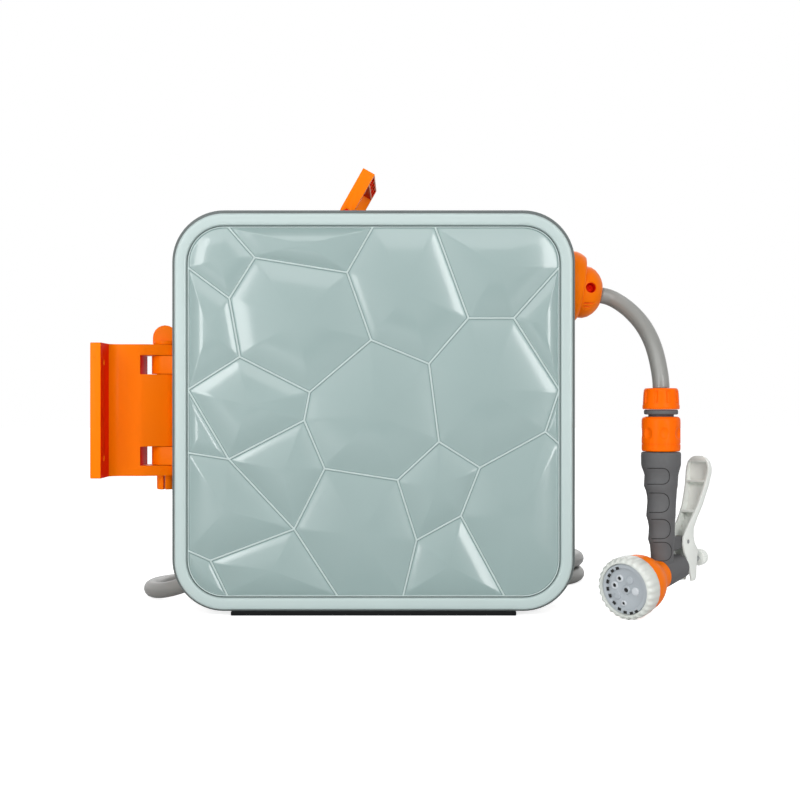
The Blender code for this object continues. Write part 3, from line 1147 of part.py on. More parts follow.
def lever_loop(x, z, deep, half):
    return [Vector(p) for p in ((x, -half, z), (x, half, z), (x - deep, half, z), (x - deep, -half, z))]


def lever(frame):
    """The trigger: a channel open to the grip, with cross ribs, two cheeks at the pin and a forked tail."""
    pivot = (LEVER_PIVOT_X, 0, LEVER_PIVOT_Z)
    channel = loft([lever_loop(*row) for row in LEVER_SECTIONS])
    part = solid("trigger_lever", channel, LIGHT_GREY, pivot, frame)
    for first, last in LEVER_HOLLOWS:
        whole = [i for i in range(len(LEVER_SECTIONS)) if first < i < last]
        rows = [lever_section(place) for place in (first, *whole, last)]
        cut(part, loft([lever_loop(x - LEVER_WALL, z, deep + 0.01, half - LEVER_WALL)
                        for x, z, deep, half in rows]))
    slot = STEM_RADIUS + 0.0010
    cut(part, block((0.040, -slot, 0.0200), (0.080, slot, 0.0560)))
    cut(part, rod((LEVER_PIVOT_X, -0.02, LEVER_PIVOT_Z), (LEVER_PIVOT_X, 0.02, LEVER_PIVOT_Z),
                  LEVER_PIN_RADIUS + GAP, 12))


def build():
    clear_scene()
    front_cover()
    rear_case()
    base_foot()
    case_screws()
    handle()
    hinge_bracket()
    wall_bracket()
    hinge_pin()
    axle()
    drum()
    spring_cassette()
    ratchet()
    level_wind()
    carriage()
    outlet()
    hoses()
    inlet_side()
    connector("nozzle", Vector((NOZZLE_X, NOZZLE_Y, CONNECTOR_TOP)), -ALONG_Z)
    nozzle()


build()
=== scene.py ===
import math

import bpy
from mathutils import Matrix, Vector


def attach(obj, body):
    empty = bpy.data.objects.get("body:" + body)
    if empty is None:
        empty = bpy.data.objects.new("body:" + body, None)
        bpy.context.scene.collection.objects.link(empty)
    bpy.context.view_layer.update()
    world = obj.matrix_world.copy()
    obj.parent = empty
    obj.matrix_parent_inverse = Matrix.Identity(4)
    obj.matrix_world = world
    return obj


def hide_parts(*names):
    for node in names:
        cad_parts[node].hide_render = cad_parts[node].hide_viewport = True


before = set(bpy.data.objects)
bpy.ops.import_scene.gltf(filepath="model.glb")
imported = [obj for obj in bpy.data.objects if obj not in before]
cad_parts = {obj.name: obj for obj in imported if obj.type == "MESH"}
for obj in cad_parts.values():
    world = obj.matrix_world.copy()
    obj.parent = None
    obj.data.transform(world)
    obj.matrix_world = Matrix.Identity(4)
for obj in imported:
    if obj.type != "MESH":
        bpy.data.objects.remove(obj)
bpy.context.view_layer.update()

# Camera. It looks level and straight at the front cover from a metre and a half away,
# so that the wall bracket and the spray nozzle are both in view.
LENS, SENSOR = 67.5, 36


def placed(name, data):
    """A new object in the scene with the given mesh, curve, camera or lamp."""
    piece = bpy.data.objects.new(name, data)
    bpy.context.scene.collection.objects.link(piece)
    return piece


camera = placed("camera", bpy.data.cameras.new("camera"))
camera.location = (0.0265, -1.590, 0.216)
camera.rotation_euler = (math.radians(90), 0, 0)
camera.data.lens = LENS
camera.data.sensor_width = SENSOR
bpy.context.scene.camera = camera


# Studio. A pale floor that runs out of view to a white surround, with soft boxes at both sides of
# the camera, above it, overhead and behind. None of it is part of the reel.
def emptied():
    bpy.ops.object.select_all(action="DESELECT")


def tuned(node, values):
    """Sets the inputs of a shader node by their names."""
    for name, value in values.items():
        node.inputs[name].default_value = value


def wired(one, output, other, entry):
    """Links an output of one shader node to an input of another."""
    one.id_data.links.new(one.outputs[output], other.inputs[entry])


emptied()
bpy.ops.mesh.primitive_plane_add(size=14, location=(0, 3, -0.0002))
floor = bpy.context.object
floor.name = "studio_floor"
floor_paint = bpy.data.materials.new("white floor")
floor_paint.use_nodes = True
nodes = floor_paint.node_tree.nodes
paint = nodes["Principled BSDF"]
tuned(paint, {"Base Color": (0.86, 0.86, 0.86, 1), "Roughness": 0.9, "Specular IOR Level": 0.1})
glow, seen = nodes.new("ShaderNodeEmission"), nodes.new("ShaderNodeLightPath")
total = nodes.new("ShaderNodeAddShader")
tuned(glow, {"Color": (1, 1, 1, 1)})
level = nodes.new("ShaderNodeMath")
level.operation = "MULTIPLY"
tuned(level, {1: 0.78})
wired(seen, "Is Camera Ray", level, 0)
wired(level, "Value", glow, "Strength")
wired(paint, "BSDF", total, 0)
wired(glow, "Emission", total, 1)
wired(total, "Shader", nodes["Material Output"], "Surface")
floor.data.materials.append(floor_paint)

world = bpy.data.worlds.new("white surround")
bpy.context.scene.world = world
world.use_nodes = True
nodes = world.node_tree.nodes
dim = nodes["Background"]
white = nodes.new("ShaderNodeBackground")
tuned(dim, {"Color": (0.93, 0.95, 0.97, 1), "Strength": 0.36})
tuned(white, {"Color": (1, 1, 1, 1), "Strength": 1.0})
seen, choice = nodes.new("ShaderNodeLightPath"), nodes.new("ShaderNodeMixShader")
either = nodes.new("ShaderNodeMath")
either.operation = "MAXIMUM"
wired(seen, "Is Camera Ray", either, 0)
wired(seen, "Is Glossy Ray", either, 1)
wired(either, "Value", choice, "Fac")
wired(dim, "Background", choice, 1)
wired(white, "Background", choice, 2)
wired(choice, "Shader", nodes["World Output"], "Surface")

# Each lamp's name, place, the spot that it points at, its size and its power
for name, place, aim, size, power in (
    ("left_box", (-0.92, -1.55, 0.62), (0, 0, 0.2), (0.34, 1.1), 7.5),
    ("left_fill", (-0.42, -1.50, 0.28), (-0.25, 0, 0.2), (0.5, 0.5), 4),
    ("right_box", (0.98, -1.55, 0.62), (0, 0, 0.2), (0.34, 1.1), 8.5),
    ("front_box", (0, -1.75, 1.45), (0, 0, 0.2), (2.0, 0.9), 10.5),
    ("top_box", (0, 0.35, 1.9), (0, 0, 0.2), (1.4, 1.0), 4),
    ("back_box", (0, 2.0, 1.2), (0, 0, 0.2), (2.0, 1.0), 9),
):
    lamp = placed(name, bpy.data.lights.new(name, "AREA"))
    lamp.data.shape = "RECTANGLE"
    lamp.data.size, lamp.data.size_y = size
    lamp.data.energy = power
    lamp.visible_camera = False
    lamp.visible_glossy = name != "left_fill"
    lamp.location = place
    lamp.rotation_euler = (Vector(aim) - Vector(place)).to_track_quat("-Z", "Y").to_euler()
bpy.context.scene.view_settings.view_transform = "Standard"


# Outlet hose. A short stretch of smooth grey garden hose that hangs from the hose stop down to
# the quick connector, and carries the spray nozzle.
HOSE = 0.017
OUTLET_DROP = math.radians(10)
OUTLET_START = Vector((0.2023, -0.0167, 0.3320))
OUTLET_WAY = Vector((math.cos(OUTLET_DROP), 0, -math.sin(OUTLET_DROP)))
CONNECTOR_TOP = Vector((0.291, -0.070, 0.2280))
# How far the stop reaches along the hose, and by how little pieces stand apart or overlap
STOP_REACH, HAIR = 0.0363, 0.0003


def linear(red, green, blue):
    """A colour written as 0 to 255, as Blender's shaders take it."""
    parts = [value / 255 for value in (red, green, blue)]
    return (*[p / 12.92 if p <= 0.04045 else ((p + 0.055) / 1.055) ** 2.4 for p in parts], 1)


def moulded_surface():
    """The start of every finish: a faint change of tone, a fine grain, and dust where a face looks up."""
    group = bpy.data.node_groups.new("moulded_surface", "ShaderNodeTree")
    for name, way, kind in (("Grain size", "INPUT", "Float"), ("Grain depth", "INPUT", "Float"),
                            ("Dust", "INPUT", "Float"), ("Tone", "OUTPUT", "Float"),
                            ("Dust mask", "OUTPUT", "Float"), ("Normal", "OUTPUT", "Vector")):
        group.interface.new_socket(name, in_out=way, socket_type=f"NodeSocket{kind}")
    nodes = group.nodes
    given, out = nodes.new("NodeGroupInput"), nodes.new("NodeGroupOutput")
    place = nodes.new("ShaderNodeTexCoord")
    tone, grain, specks = [nodes.new("ShaderNodeTexNoise") for _ in range(3)]
    tuned(tone, {"Scale": 9.0, "Detail": 3})
    tuned(grain, {"Detail": 4})
    tuned(specks, {"Scale": 260, "Detail": 5})
    for noise in (tone, grain, specks):
        wired(place, "Object", noise, "Vector")
    wired(given, "Grain size", grain, "Scale")
    wired(tone, "Fac", out, "Tone")
    bump = nodes.new("ShaderNodeBump")
    tuned(bump, {"Distance": 0.0003})
    wired(given, "Grain depth", bump, "Strength")
    wired(grain, "Fac", bump, "Height")
    wired(bump, "Normal", out, "Normal")
    way, split = nodes.new("ShaderNodeNewGeometry"), nodes.new("ShaderNodeSeparateXYZ")
    wired(way, "Normal", split, 0)
    upward = nodes.new("ShaderNodeMapRange")
    tuned(upward, {"From Min": 0.6})
    wired(split, "Z", upward, "Value")
    speckled = nodes.new("ShaderNodeMapRange")
    tuned(speckled, {"From Min": 0.45, "From Max": 0.75})
    wired(specks, "Fac", speckled, "Value")
    both, share = nodes.new("ShaderNodeMath"), nodes.new("ShaderNodeMath")
    both.operation = share.operation = "MULTIPLY"
    wired(upward, "Result", both, 0)
    wired(speckled, "Result", both, 1)
    wired(both, "Value", share, 0)
    wired(given, "Dust", share, 1)
    wired(share, "Value", out, "Dust mask")
    return group


surface = moulded_surface()
DUST_COLOUR = (178, 174, 166)


def moulding(name, colour, roughness, grain=0.1, grain_size=900, shift=0.06, coat=0.0, metal=0.0, dust=0.25,
             gloss=0.5):
    """A plastic, rubber or metal finish whose tone varies by a share of its colour."""
    material = bpy.data.materials.new(name)
    material.use_nodes = True
    nodes = material.node_tree.nodes
    shader = nodes["Principled BSDF"]
    tuned(shader, {"Roughness": roughness, "Metallic": metal, "Specular IOR Level": gloss,
                   "Coat Weight": coat, "Coat Roughness": 0.12})
    group = nodes.new("ShaderNodeGroup")
    group.node_tree = surface
    tuned(group, {"Grain size": grain_size, "Grain depth": grain, "Dust": dust})
    ramp = nodes.new("ShaderNodeValToRGB")
    base = linear(*colour)
    for stop, position, share in zip(ramp.color_ramp.elements, (0.3, 0.7), (1 - shift, 1 + shift)):
        stop.position = position
        stop.color = (*[min(c * share, 1) for c in base[:3]], 1)
    wired(group, "Tone", ramp, "Fac")
    dusty = nodes.new("ShaderNodeMix")
    dusty.data_type = "RGBA"
    tuned(dusty, {"B": linear(*DUST_COLOUR)})
    wired(group, "Dust mask", dusty, "Factor")
    wired(ramp, "Color", dusty, "A")
    wired(dusty, "Result", shader, "Base Color")
    wired(group, "Normal", shader, "Normal")
    return material


def smooth_line(points, step, first, last):
    """Points a step apart along a smooth curve through given ones."""
    points = [Vector(p) for p in points]
    fine = []
    for i in range(len(points) - 1):
        a, b = points[i], points[i + 1]
        into = (b - points[i - 1]) / 2 if i else Vector(first) * (b - a).length
        out = (points[i + 2] - a) / 2 if i + 2 < len(points) else Vector(last) * (b - a).length
        pieces = max(2, round((b - a).length / step))
        for j in range(pieces):
            t = j / pieces
            fine.append((2 * t**3 - 3 * t**2 + 1) * a + (t**3 - 2 * t**2 + t) * into
                        + (3 * t**2 - 2 * t**3) * b + (t**3 - t**2) * out)
    return fine + [points[-1]]


def tube(name, line, diameter, sides):
    """A round hose or wire along a line, as a curve with closed ends."""
    curve = bpy.data.curves.new(name, "CURVE")
    curve.dimensions = "3D"
    curve.bevel_depth = diameter / 2
    curve.bevel_resolution = sides
    curve.use_fill_caps = True
    spline = curve.splines.new("POLY")
    spline.points.add(len(line) - 1)
    for point, place in zip(spline.points, line):
        point.co = (*place, 1)
    spline.use_smooth = True
    return placed(name, curve)


def fitted(piece, body, material, slot, *nodes):
    """Gives a finished piece its material and moving part, and hides any CAD node it stands for; the slot is
    not used.
    """
    piece.data.materials.clear()
    piece.data.materials.append(material)
    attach(piece, body)
    if nodes:
        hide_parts(*nodes)


hose_skin = moulding("hose skin", (136, 136, 132), 0.32, 0.05, 700, 0.04, dust=0.05, gloss=0.8)
hose_start = OUTLET_START + STOP_REACH * OUTLET_WAY
hose_end = CONNECTOR_TOP + Vector((0, 0, HAIR))
line = smooth_line(
    [hose_start, (0.2510, -0.0188, 0.3211), (0.2652, -0.0296, 0.3093), (0.2770, -0.0430, 0.2930),
     (0.2848, -0.0556, 0.2735), (0.2893, -0.0646, 0.2510), hose_end], 0.002, OUTLET_WAY, (0, 0, -1))
free_hose = tube("free_hose", line, HOSE, 11)
fitted(free_hose, "case", hose_skin, "hose_grey", "outlet_hose")

# Inlet hose. The same grey hose leaves the case's lower corner through a rubber grommet, lies on
# the floor round to the back of the case, and is coiled there ready for the tap.
# The case's rounded lower corner, where on it the hose comes out, and which way it then goes
CORNER_MIDDLE, CORNER_RADIUS = Vector((-0.152, 0, 0.0543)), 0.050
EXIT_ANGLE, EXIT_SLOPE, EXIT_TURN = math.radians(216.9), math.radians(20), math.radians(27.5)
# How high the hose's middle lies on the floor, its way there to the coil, and the coil
LYING = 0.0086
FLOOR_WAY = [(-0.2483, 0.0710), (-0.2459, 0.0987), (-0.2341, 0.1239), (-0.2145, 0.1435), (-0.1893, 0.1555),
             (-0.1600, 0.1590), (-0.1200, 0.1575), (-0.0650, 0.1510), (0.0000, 0.1390), (0.0550, 0.1280)]
COIL_CENTRE, COIL_RADIUS, COIL_PITCH, COIL_SWEEP = Vector((0.144, 0.222, LYING)), 0.100, 0.0176, 900
TAP_TOP = Vector((0.036, 0.320, 0.0198))
exit_place = CORNER_MIDDLE + CORNER_RADIUS * Vector((math.cos(EXIT_ANGLE), 0, math.sin(EXIT_ANGLE)))
exit_way = Vector((-math.cos(EXIT_SLOPE) * math.cos(EXIT_TURN), math.cos(EXIT_SLOPE) * math.sin(EXIT_TURN),
                   -math.sin(EXIT_SLOPE)))


def coil_point(sweep):
    """The coil goes in for a turn, climbs where it reverses, and comes out on top of itself."""
    angle = math.radians(sweep - 90)
    radius = COIL_RADIUS - COIL_PITCH * min(sweep, COIL_SWEEP - sweep) / 360
    climb = min(max((sweep - 360) / 180, 0), 1)
    rise = COIL_PITCH * climb * climb * (3 - 2 * climb)
    return COIL_CENTRE + Vector((radius * math.cos(angle), radius * math.sin(angle), rise))


start = exit_place + 0.0077 * exit_way
straight = coil_point(0) - Vector((HOSE, 0, 0))
line = smooth_line(
    [start + HOSE / 2 * exit_way, (-0.2252, 0.0214, 0.0122), (-0.2411, 0.0442, 0.0092),
     *[(x, y, LYING) for x, y in FLOOR_WAY], straight - Vector((HOSE, 0, 0))],
    0.008, exit_way, (1, 0, 0))
coil = [coil_point(sweep) for sweep in range(0, COIL_SWEEP + 1, 6)]
tap_end = TAP_TOP + Vector((HAIR, 0, 0))
tail = smooth_line(
    [coil[-1], (0.1100, 0.3190, 0.0262), (0.0750, 0.3195, 0.0245), tap_end + Vector((HOSE, 0, 0))],
    0.008, (-1, 0, 0), (-1, 0, 0))
whole = [start, *line, straight, *coil, *tail[1:], tap_end]
inlet_run = tube("inlet_run", whole, HOSE, 5)
fitted(inlet_run, "case", hose_skin, "hose_grey", "inlet_hose", "inlet_hose_coil")

# Rear case. A deep grey plastic tub with rounded corners, moulded in one with its back. It has
# openings for the handle's well, the outlet, the inlet hose and the cover's four screws.
SIDE_X, HALF_HEIGHT, AXLE_Z, BACK_Y, SHELL_FRONT = 0.202, 0.201, 0.2053, 0.090, 0.085
SHELL_CORNER, SHELL_DEPTH, SHELL_WALL, HOLLOW_DEPTH = 0.052, 0.1650, 0.003, 0.1712
# The rounded back edge, its flat and the shallow recess in it, as insets and rises
BACK_STEPS = [(0.0004, 0.0028), (0.0008, 0.0024), (0.0014, 0.0018), (0.0020, 0.0012), (0.0030, 0.0010),
              (0.0040, 0.0008), (0.0150, 0.0), (0.0008, -0.0004), (0.0006, -0.0016), (0.0010, -0.0004)]
OUTLET_HOLE, GROMMET_HOLE, SCREW_HOLE = 0.0125, 0.0130, 0.0055
# How far the screws lie from the axle each way, and how much higher the one by the inlet hose lies
SCREW_OFFSET, SCREW_RISE = 0.177, 0.047
WELL_LEFT, WELL_RIGHT, WELL_HALF, CUT_TOP = -0.0367, 0.0374, 0.0625, 0.4100


def chosen(piece, test):
    """Selects the faces whose middle and normal pass a test, in edit mode and face mode."""
    bpy.ops.object.mode_set(mode="OBJECT")
    for face in piece.data.polygons:
        face.select = test(face.center, face.normal)
    bpy.ops.object.mode_set(mode="EDIT")
    bpy.ops.mesh.select_mode(type="FACE")


def opened():
    """Goes into edit mode with the whole piece selected."""
    bpy.ops.object.mode_set(mode="EDIT")
    bpy.ops.mesh.select_all(action="SELECT")


def rounded_plate(name, half_width, half_height, corner, level):
    """A flat rectangle with rounded corners, facing up, left in edit mode with its face selected."""
    emptied()
    bpy.ops.mesh.primitive_plane_add(size=2, location=(0, 0, 0))
    piece = bpy.context.object
    piece.name = piece.data.name = name
    opened()
    bpy.ops.transform.resize(value=(half_width, half_height, 1), center_override=(0, 0, 0))
    bpy.ops.transform.translate(value=(0, 0, level))
    bpy.ops.mesh.bevel(offset=corner, affect="VERTICES", segments=18, offset_type="OFFSET")
    bpy.ops.mesh.select_mode(type="FACE")
    bpy.ops.mesh.select_all(action="SELECT")
    return piece


def raise_face(depth):
    bpy.ops.mesh.extrude_region_move(TRANSFORM_OT_translate={"value": (0, 0, depth)})


def stepped(steps):
    """Insets of the selected face, each by (distance, rise)."""
    for distance, rise in steps:
        bpy.ops.mesh.inset(thickness=distance, depth=rise)


def outward():
    """Turns the faces of the piece in edit mode outwards, and leaves that mode."""
    bpy.ops.mesh.select_all(action="SELECT")
    bpy.ops.mesh.normals_make_consistent(inside=False)
    bpy.ops.object.mode_set(mode="OBJECT")


def alone(piece):
    """Makes a piece the only selected one."""
    emptied()
    piece.select_set(True)
    bpy.context.view_layer.objects.active = piece


def carve(piece, cutter, operation="DIFFERENCE"):
    """Cuts one solid out of another, or joins it on, and clears the cutter away."""
    step = piece.modifiers.new("carve", "BOOLEAN")
    step.operation, step.solver, step.object = operation, "EXACT", cutter
    alone(piece)
    bpy.ops.object.modifier_apply(modifier=step.name)
    bpy.data.objects.remove(cutter)


def eased(piece, width, angle=35):
    """Rounds a moulding's sharp edges and shades the rest smooth."""
    alone(piece)
    if width:
        edge = piece.modifiers.new("edge", "BEVEL")
        edge.width, edge.segments, edge.limit_method = width, 2, "ANGLE"
        edge.angle_limit = math.radians(angle)
        bpy.ops.object.modifier_apply(modifier=edge.name)
    bpy.ops.object.shade_smooth_by_angle(angle=math.radians(angle))


def rod(start, end, radius, sides=32):
    """A plain round bar between two points, as a cutter or a pin."""
    start, end = Vector(start), Vector(end)
    emptied()
    bpy.ops.mesh.primitive_cylinder_add(vertices=sides, radius=radius, depth=(end - start).length)
    piece = bpy.context.object
    turn = (end - start).to_track_quat("Z", "Y").to_matrix().to_4x4()
    piece.data.transform(Matrix.Translation((start + end) / 2) @ turn)
    return piece


def box(low, high, name="box"):
    """A plain block between two opposite corners, as a cutter or a start."""
    emptied()
    bpy.ops.mesh.primitive_cube_add(size=1)
    piece = bpy.context.object
    piece.name = piece.data.name = name
    low, high = Vector(low), Vector(high)
    piece.data.transform(Matrix.Translation((low + high) / 2) @ Matrix.Diagonal((*(high - low), 1)))
    return piece


shell_grey = moulding("rear shell plastic", (92, 99, 98), 0.48, 0.25, 1100, 0.05)
shell = rounded_plate("rear_shell", SIDE_X, HALF_HEIGHT, SHELL_CORNER, -SHELL_FRONT)
raise_face(SHELL_DEPTH)
stepped(BACK_STEPS)
chosen(shell, lambda middle, normal: middle.z < -SHELL_FRONT + 0.001 and abs(normal.z) > 0.9)
stepped([(SHELL_WALL, 0.0)])
raise_face(HOLLOW_DEPTH)
outward()
shell.data.transform(Matrix.Translation((0, 0, AXLE_Z)) @ Matrix.Rotation(math.radians(-90), 4, "X"))
holes = [box((WELL_LEFT, -WELL_HALF, 0.4000), (WELL_RIGHT, WELL_HALF, CUT_TOP)),
         rod(OUTLET_START - 0.02 * OUTLET_WAY, OUTLET_START + 0.02 * OUTLET_WAY, OUTLET_HOLE),
         rod(exit_place - 0.02 * exit_way, exit_place + 0.02 * exit_way, GROMMET_HOLE)]
screws = [(x, AXLE_Z + z) for x in (-SCREW_OFFSET, SCREW_OFFSET) for z in (-SCREW_OFFSET, SCREW_OFFSET)]
screws[0] = (screws[0][0], screws[0][1] + SCREW_RISE)
holes += [rod((x, BACK_Y - 0.006, z), (x, BACK_Y + 0.01, z), SCREW_HOLE) for x, z in screws]
for hole in holes:
    carve(shell, hole)
eased(shell, 0, 40)
fitted(shell, "case", shell_grey, "grey_plastic", "rear_case")

# Screw wells. Four deep grey tubes that run in from the back face, through which the cover's
# screws are put in. They are moulded in one with the rear case.
# A well's outline, as distance from the back face and radius
WELL_OUTLINE = [(-0.055, 0.0055), (-0.055, 0.0024), (-0.0585, 0.0024), (-0.0585, 0.0080),
                (-0.0030, 0.0080), (-0.0030, 0.0055)]


def turned(name, profile, base, way, steps=64):
    """Spins a closed profile of (distance along the way, radius) round an axis, as on a lathe."""
    outline = [Vector((radius, 0, along)) for along, radius in profile]
    mesh = bpy.data.meshes.new(name)
    ends = [(i, i + 1) for i in range(len(outline) - 1)]
    if profile[0][1] > 0:
        ends.append((len(outline) - 1, 0))
    mesh.from_pydata(outline, ends, [])
    piece = placed(name, mesh)
    alone(piece)
    opened()
    bpy.ops.mesh.spin(steps=steps, angle=2 * math.pi, center=(0, 0, 0), axis=(0, 0, 1))
    bpy.ops.mesh.select_all(action="SELECT")
    bpy.ops.mesh.remove_doubles(threshold=1e-6)
    outward()
    turn = Vector(way).to_track_quat("Z", "Y").to_matrix().to_4x4()
    piece.data.transform(Matrix.Translation(Vector(base)) @ turn)
    return piece


for number, (x, z) in enumerate(screws, 1):
    well = turned(f"screw_well_{number}", WELL_OUTLINE, (x, BACK_Y, z), (0, 1, 0), 32)
    eased(well, 0.0003)
    fitted(well, "case", shell_grey, "grey_plastic")

# Handle well. A shallow grey tray let into the top of the case, with the two ears that the carry
# handle pivots on. It is moulded in one with the rear case.
PIVOT_X, PIVOT_Z = -0.028, 0.4085
WELL_WALL, WELL_FLOOR, TRAY_TOP = 0.0030, 0.4009, 0.4060
EAR_IN, EAR_OUT, EAR_RADIUS, EAR_BOTTOM, EAR_BORE = 0.0492, 0.0552, 0.0057, 0.3995, 0.0028
tray = box((WELL_LEFT - WELL_WALL, -WELL_HALF - WELL_WALL, WELL_FLOOR - WELL_WALL),
           (WELL_RIGHT + WELL_WALL, WELL_HALF + WELL_WALL, TRAY_TOP), "handle_well")
carve(tray, box((WELL_LEFT, -WELL_HALF, WELL_FLOOR), (WELL_RIGHT, WELL_HALF, CUT_TOP)))
for side in (-1, 1):
    near, far = sorted((side * EAR_OUT, side * EAR_IN))
    ear = rod((PIVOT_X, near, PIVOT_Z), (PIVOT_X, far, PIVOT_Z), EAR_RADIUS)
    carve(ear, box((PIVOT_X - EAR_RADIUS, near, EAR_BOTTOM), (PIVOT_X + EAR_RADIUS, far, PIVOT_Z)), "UNION")
    carve(tray, ear, "UNION")
carve(tray, rod((PIVOT_X, -0.06, PIVOT_Z), (PIVOT_X, 0.06, PIVOT_Z), EAR_BORE))
eased(tray, 0.0004)
fitted(tray, "case", shell_grey, "grey_plastic")

# Base foot. A low black rubber-like block under the case, on which the reel stands when it
# isn't on its wall bracket.
FOOT_HALF, FOOT_FRONT, FOOT_BACK, FOOT_HEIGHT = 0.143, -0.0885, 0.075, 0.0043
foot_black = moulding("foot rubber", (14, 15, 16), 0.7, 0.3, 700, 0.1, dust=0.0, gloss=0.15)
foot = box((-FOOT_HALF, FOOT_FRONT, 0), (FOOT_HALF, FOOT_BACK, FOOT_HEIGHT), "foot_block")
opened()
bpy.ops.mesh.bevel(offset=0.0009, segments=3)
bpy.ops.object.mode_set(mode="OBJECT")
eased(foot, 0)
fitted(foot, "case", foot_black, "black_plastic", "base_foot")

# Front cover, its rim. A pale frame that stands a little proud of the case, with rounded edges
# and a groove round the sunk panel, whose front faces are darkened as painted shade.
COVER_Z = AXLE_Z - 0.0008
RIM_HALF, RIM_HALF_HEIGHT, RIM_CORNER, RIM_SIDE, RIM_WALL = 0.1994, 0.1984, 0.0496, 0.0032, 0.0012
# The rim's rounded face and the groove at its inner edge, as insets and rises
RIM_STEPS = [(0.0003, 0.0008), (0.0006, 0.0007), (0.0010, 0.0004), (0.0015, 0.0002), (0.0030, 0.0001),
             (0.0030, -0.0001), (0.0014, -0.0004), (0.0006, -0.0006), (0.0004, -0.0009), (0.0002, -0.0012),
             (0.0018, -0.0002)]
# The rounded line inside which the rim falls into the groove
GROOVE_HALF, GROOVE_CORNER = 0.18755, 0.03775
pale_rim = moulding("pale rim plastic", (178, 193, 191), 0.40, 0.03, 700, 0.02, 0.2, dust=0.1)
rim_groove_shade = moulding("rim groove with painted shade", (84, 96, 95), 0.7, 0.1, 900, 0.1, dust=0.0, gloss=0.2)
rim = rounded_plate("cover_rim", RIM_HALF, RIM_HALF_HEIGHT, RIM_CORNER, SHELL_FRONT - HAIR)
raise_face(RIM_SIDE)
stepped(RIM_STEPS)
bpy.ops.mesh.delete(type="FACE")
chosen(rim, lambda middle, normal: normal.z < -0.9 and middle.z < SHELL_FRONT)
bpy.ops.mesh.delete(type="ONLY_FACE")
bpy.ops.object.mode_set(mode="OBJECT")
wall = rim.modifiers.new("wall", "SOLIDIFY")
wall.thickness, wall.offset = RIM_WALL, -1
bpy.ops.object.modifier_apply(modifier="wall")
front = Matrix.Translation((0, 0, COVER_Z)) @ Matrix.Rotation(math.radians(90), 4, "X")
rim.data.transform(front)
eased(rim, 0, 50)
fitted(rim, "case", pale_rim, "pale_plastic", "front_cover")
# The groove's faces that look forwards take a darker grey as painted shade.
rim.data.materials.append(rim_groove_shade)
for face in rim.data.polygons:
    x, z = abs(face.center.x), abs(face.center.z - COVER_Z) + 0.001
    past_x, past_z = (max(place - GROOVE_HALF + GROOVE_CORNER, 0) for place in (x, z))
    inside = max(x, z) < GROOVE_HALF and math.hypot(past_x, past_z) < GROOVE_CORNER
    if inside and face.normal.y < -0.3:
        face.material_index = 1

# Front cover, its sunk panel. It is moulded in one with the rim: glossy, swelling, many-sided
# cells between thin raised ribs. The cell in the middle is plain.
# The cells' corners, in millimetres from the panel's middle
POINTS = {
    "a": (-146, 186), "b": (-119, 155), "c": (-186, 145), "d": (-144.5, 114), "e": (-134, 55),
    "f": (-186, 22), "g": (-26.5, 140), "h": (-0.5, 186), "i": (-2.5, 72), "j": (-64, 19.5),
    "k": (55.5, 48), "l": (-69.5, -9), "m": (61.5, 186), "n": (65.5, -30.5), "o": (95, 94),
    "p": (140.5, 94), "q": (186, 145), "r": (186, 22), "s": (172, -20.5), "t": (186, -32.5),
    "u": (106.5, -56.5), "v": (87.5, -105), "w": (43, -129.5), "x": (131, -186), "y": (29.5, -186),
    "z": (24, -69), "aa": (-49, -57.5), "bb": (-79.5, -118.5), "cc": (-36, -186), "dd": (-145, -48),
    "ee": (-186, -41.5), "ff": (-186, -140), "gg": (-163.5, -150), "hh": (-146, -186),
}
# Each cell's corners in order; a number is the panel's own rounded corner at that angle
CELLS = [
    "c 135 a b d", "a h g b", "h m o k i g", "m 45 q p o", "p q r", "o p r s u n k", "r t s",
    "s t 315 x v u", "n u v w z", "v x y w", "z w y cc bb aa", "i k n z aa l j", "b g i j e d",
    "c d e f", "e j l dd f", "l aa bb dd", "f dd ee", "ee dd bb gg ff", "ff gg hh 225", "gg bb cc hh",
]
PANEL_HALF, PANEL_HALF_HEIGHT, PANEL_CORNER = 0.1862, 0.1852, 0.0364
RIB_TOP, SWELL, MOST_SWELL, SIDE_STEP, PANEL_EDGE = 0.0872, 0.135, 0.0062, 0.004, 0.0030
# The rib's flat top, its flank and its foot, as distances inwards and drops
RIB_STEPS = [(0, 0), (0.0006, 0), (0.0009, -0.0002), (0.0011, -0.0011), (0.0016, -0.0014), (0.0020, -0.0013)]
PILLOW_SHARES = [0.02, 0.05, 0.09, 0.14, 0.20, 0.27, 0.35, 0.44, 0.54, 0.65, 0.77, 0.89]
pale_cover = moulding("pale cover plastic", (138, 158, 156), 0.36, 0.02, 700, 0.02, 1.0, dust=0.05)
rib_crease_shade = moulding("cover with painted crease shade", (118, 138, 136), 0.5, 0.02, 700, 0.02, dust=0.0)


def cell_outline(words):
    """A cell's corners, anticlockwise, with a rounded corner of the panel as an arc of points."""
    corners = []
    for word in words.split():
        if word.isdigit():
            angle = int(word)
            middle = [math.copysign(half - PANEL_CORNER, turn(math.radians(angle)))
                      for half, turn in ((PANEL_HALF, math.cos), (PANEL_HALF_HEIGHT, math.sin))]
            for step in range(13):
                a = math.radians(angle + 45 - 90 * step / 12)
                across, up = PANEL_CORNER * math.cos(a), PANEL_CORNER * math.sin(a)
                corners.append(Vector((middle[0] + across, middle[1] + up)))
        else:
            x, y = POINTS[word]
            corners.append(Vector((x * PANEL_HALF / 186, y * PANEL_HALF_HEIGHT / 186)))
    area = sum(a.x * b.y - b.x * a.y for a, b in zip(corners, corners[1:] + corners[:1]))
    return corners if area > 0 else corners[::-1]


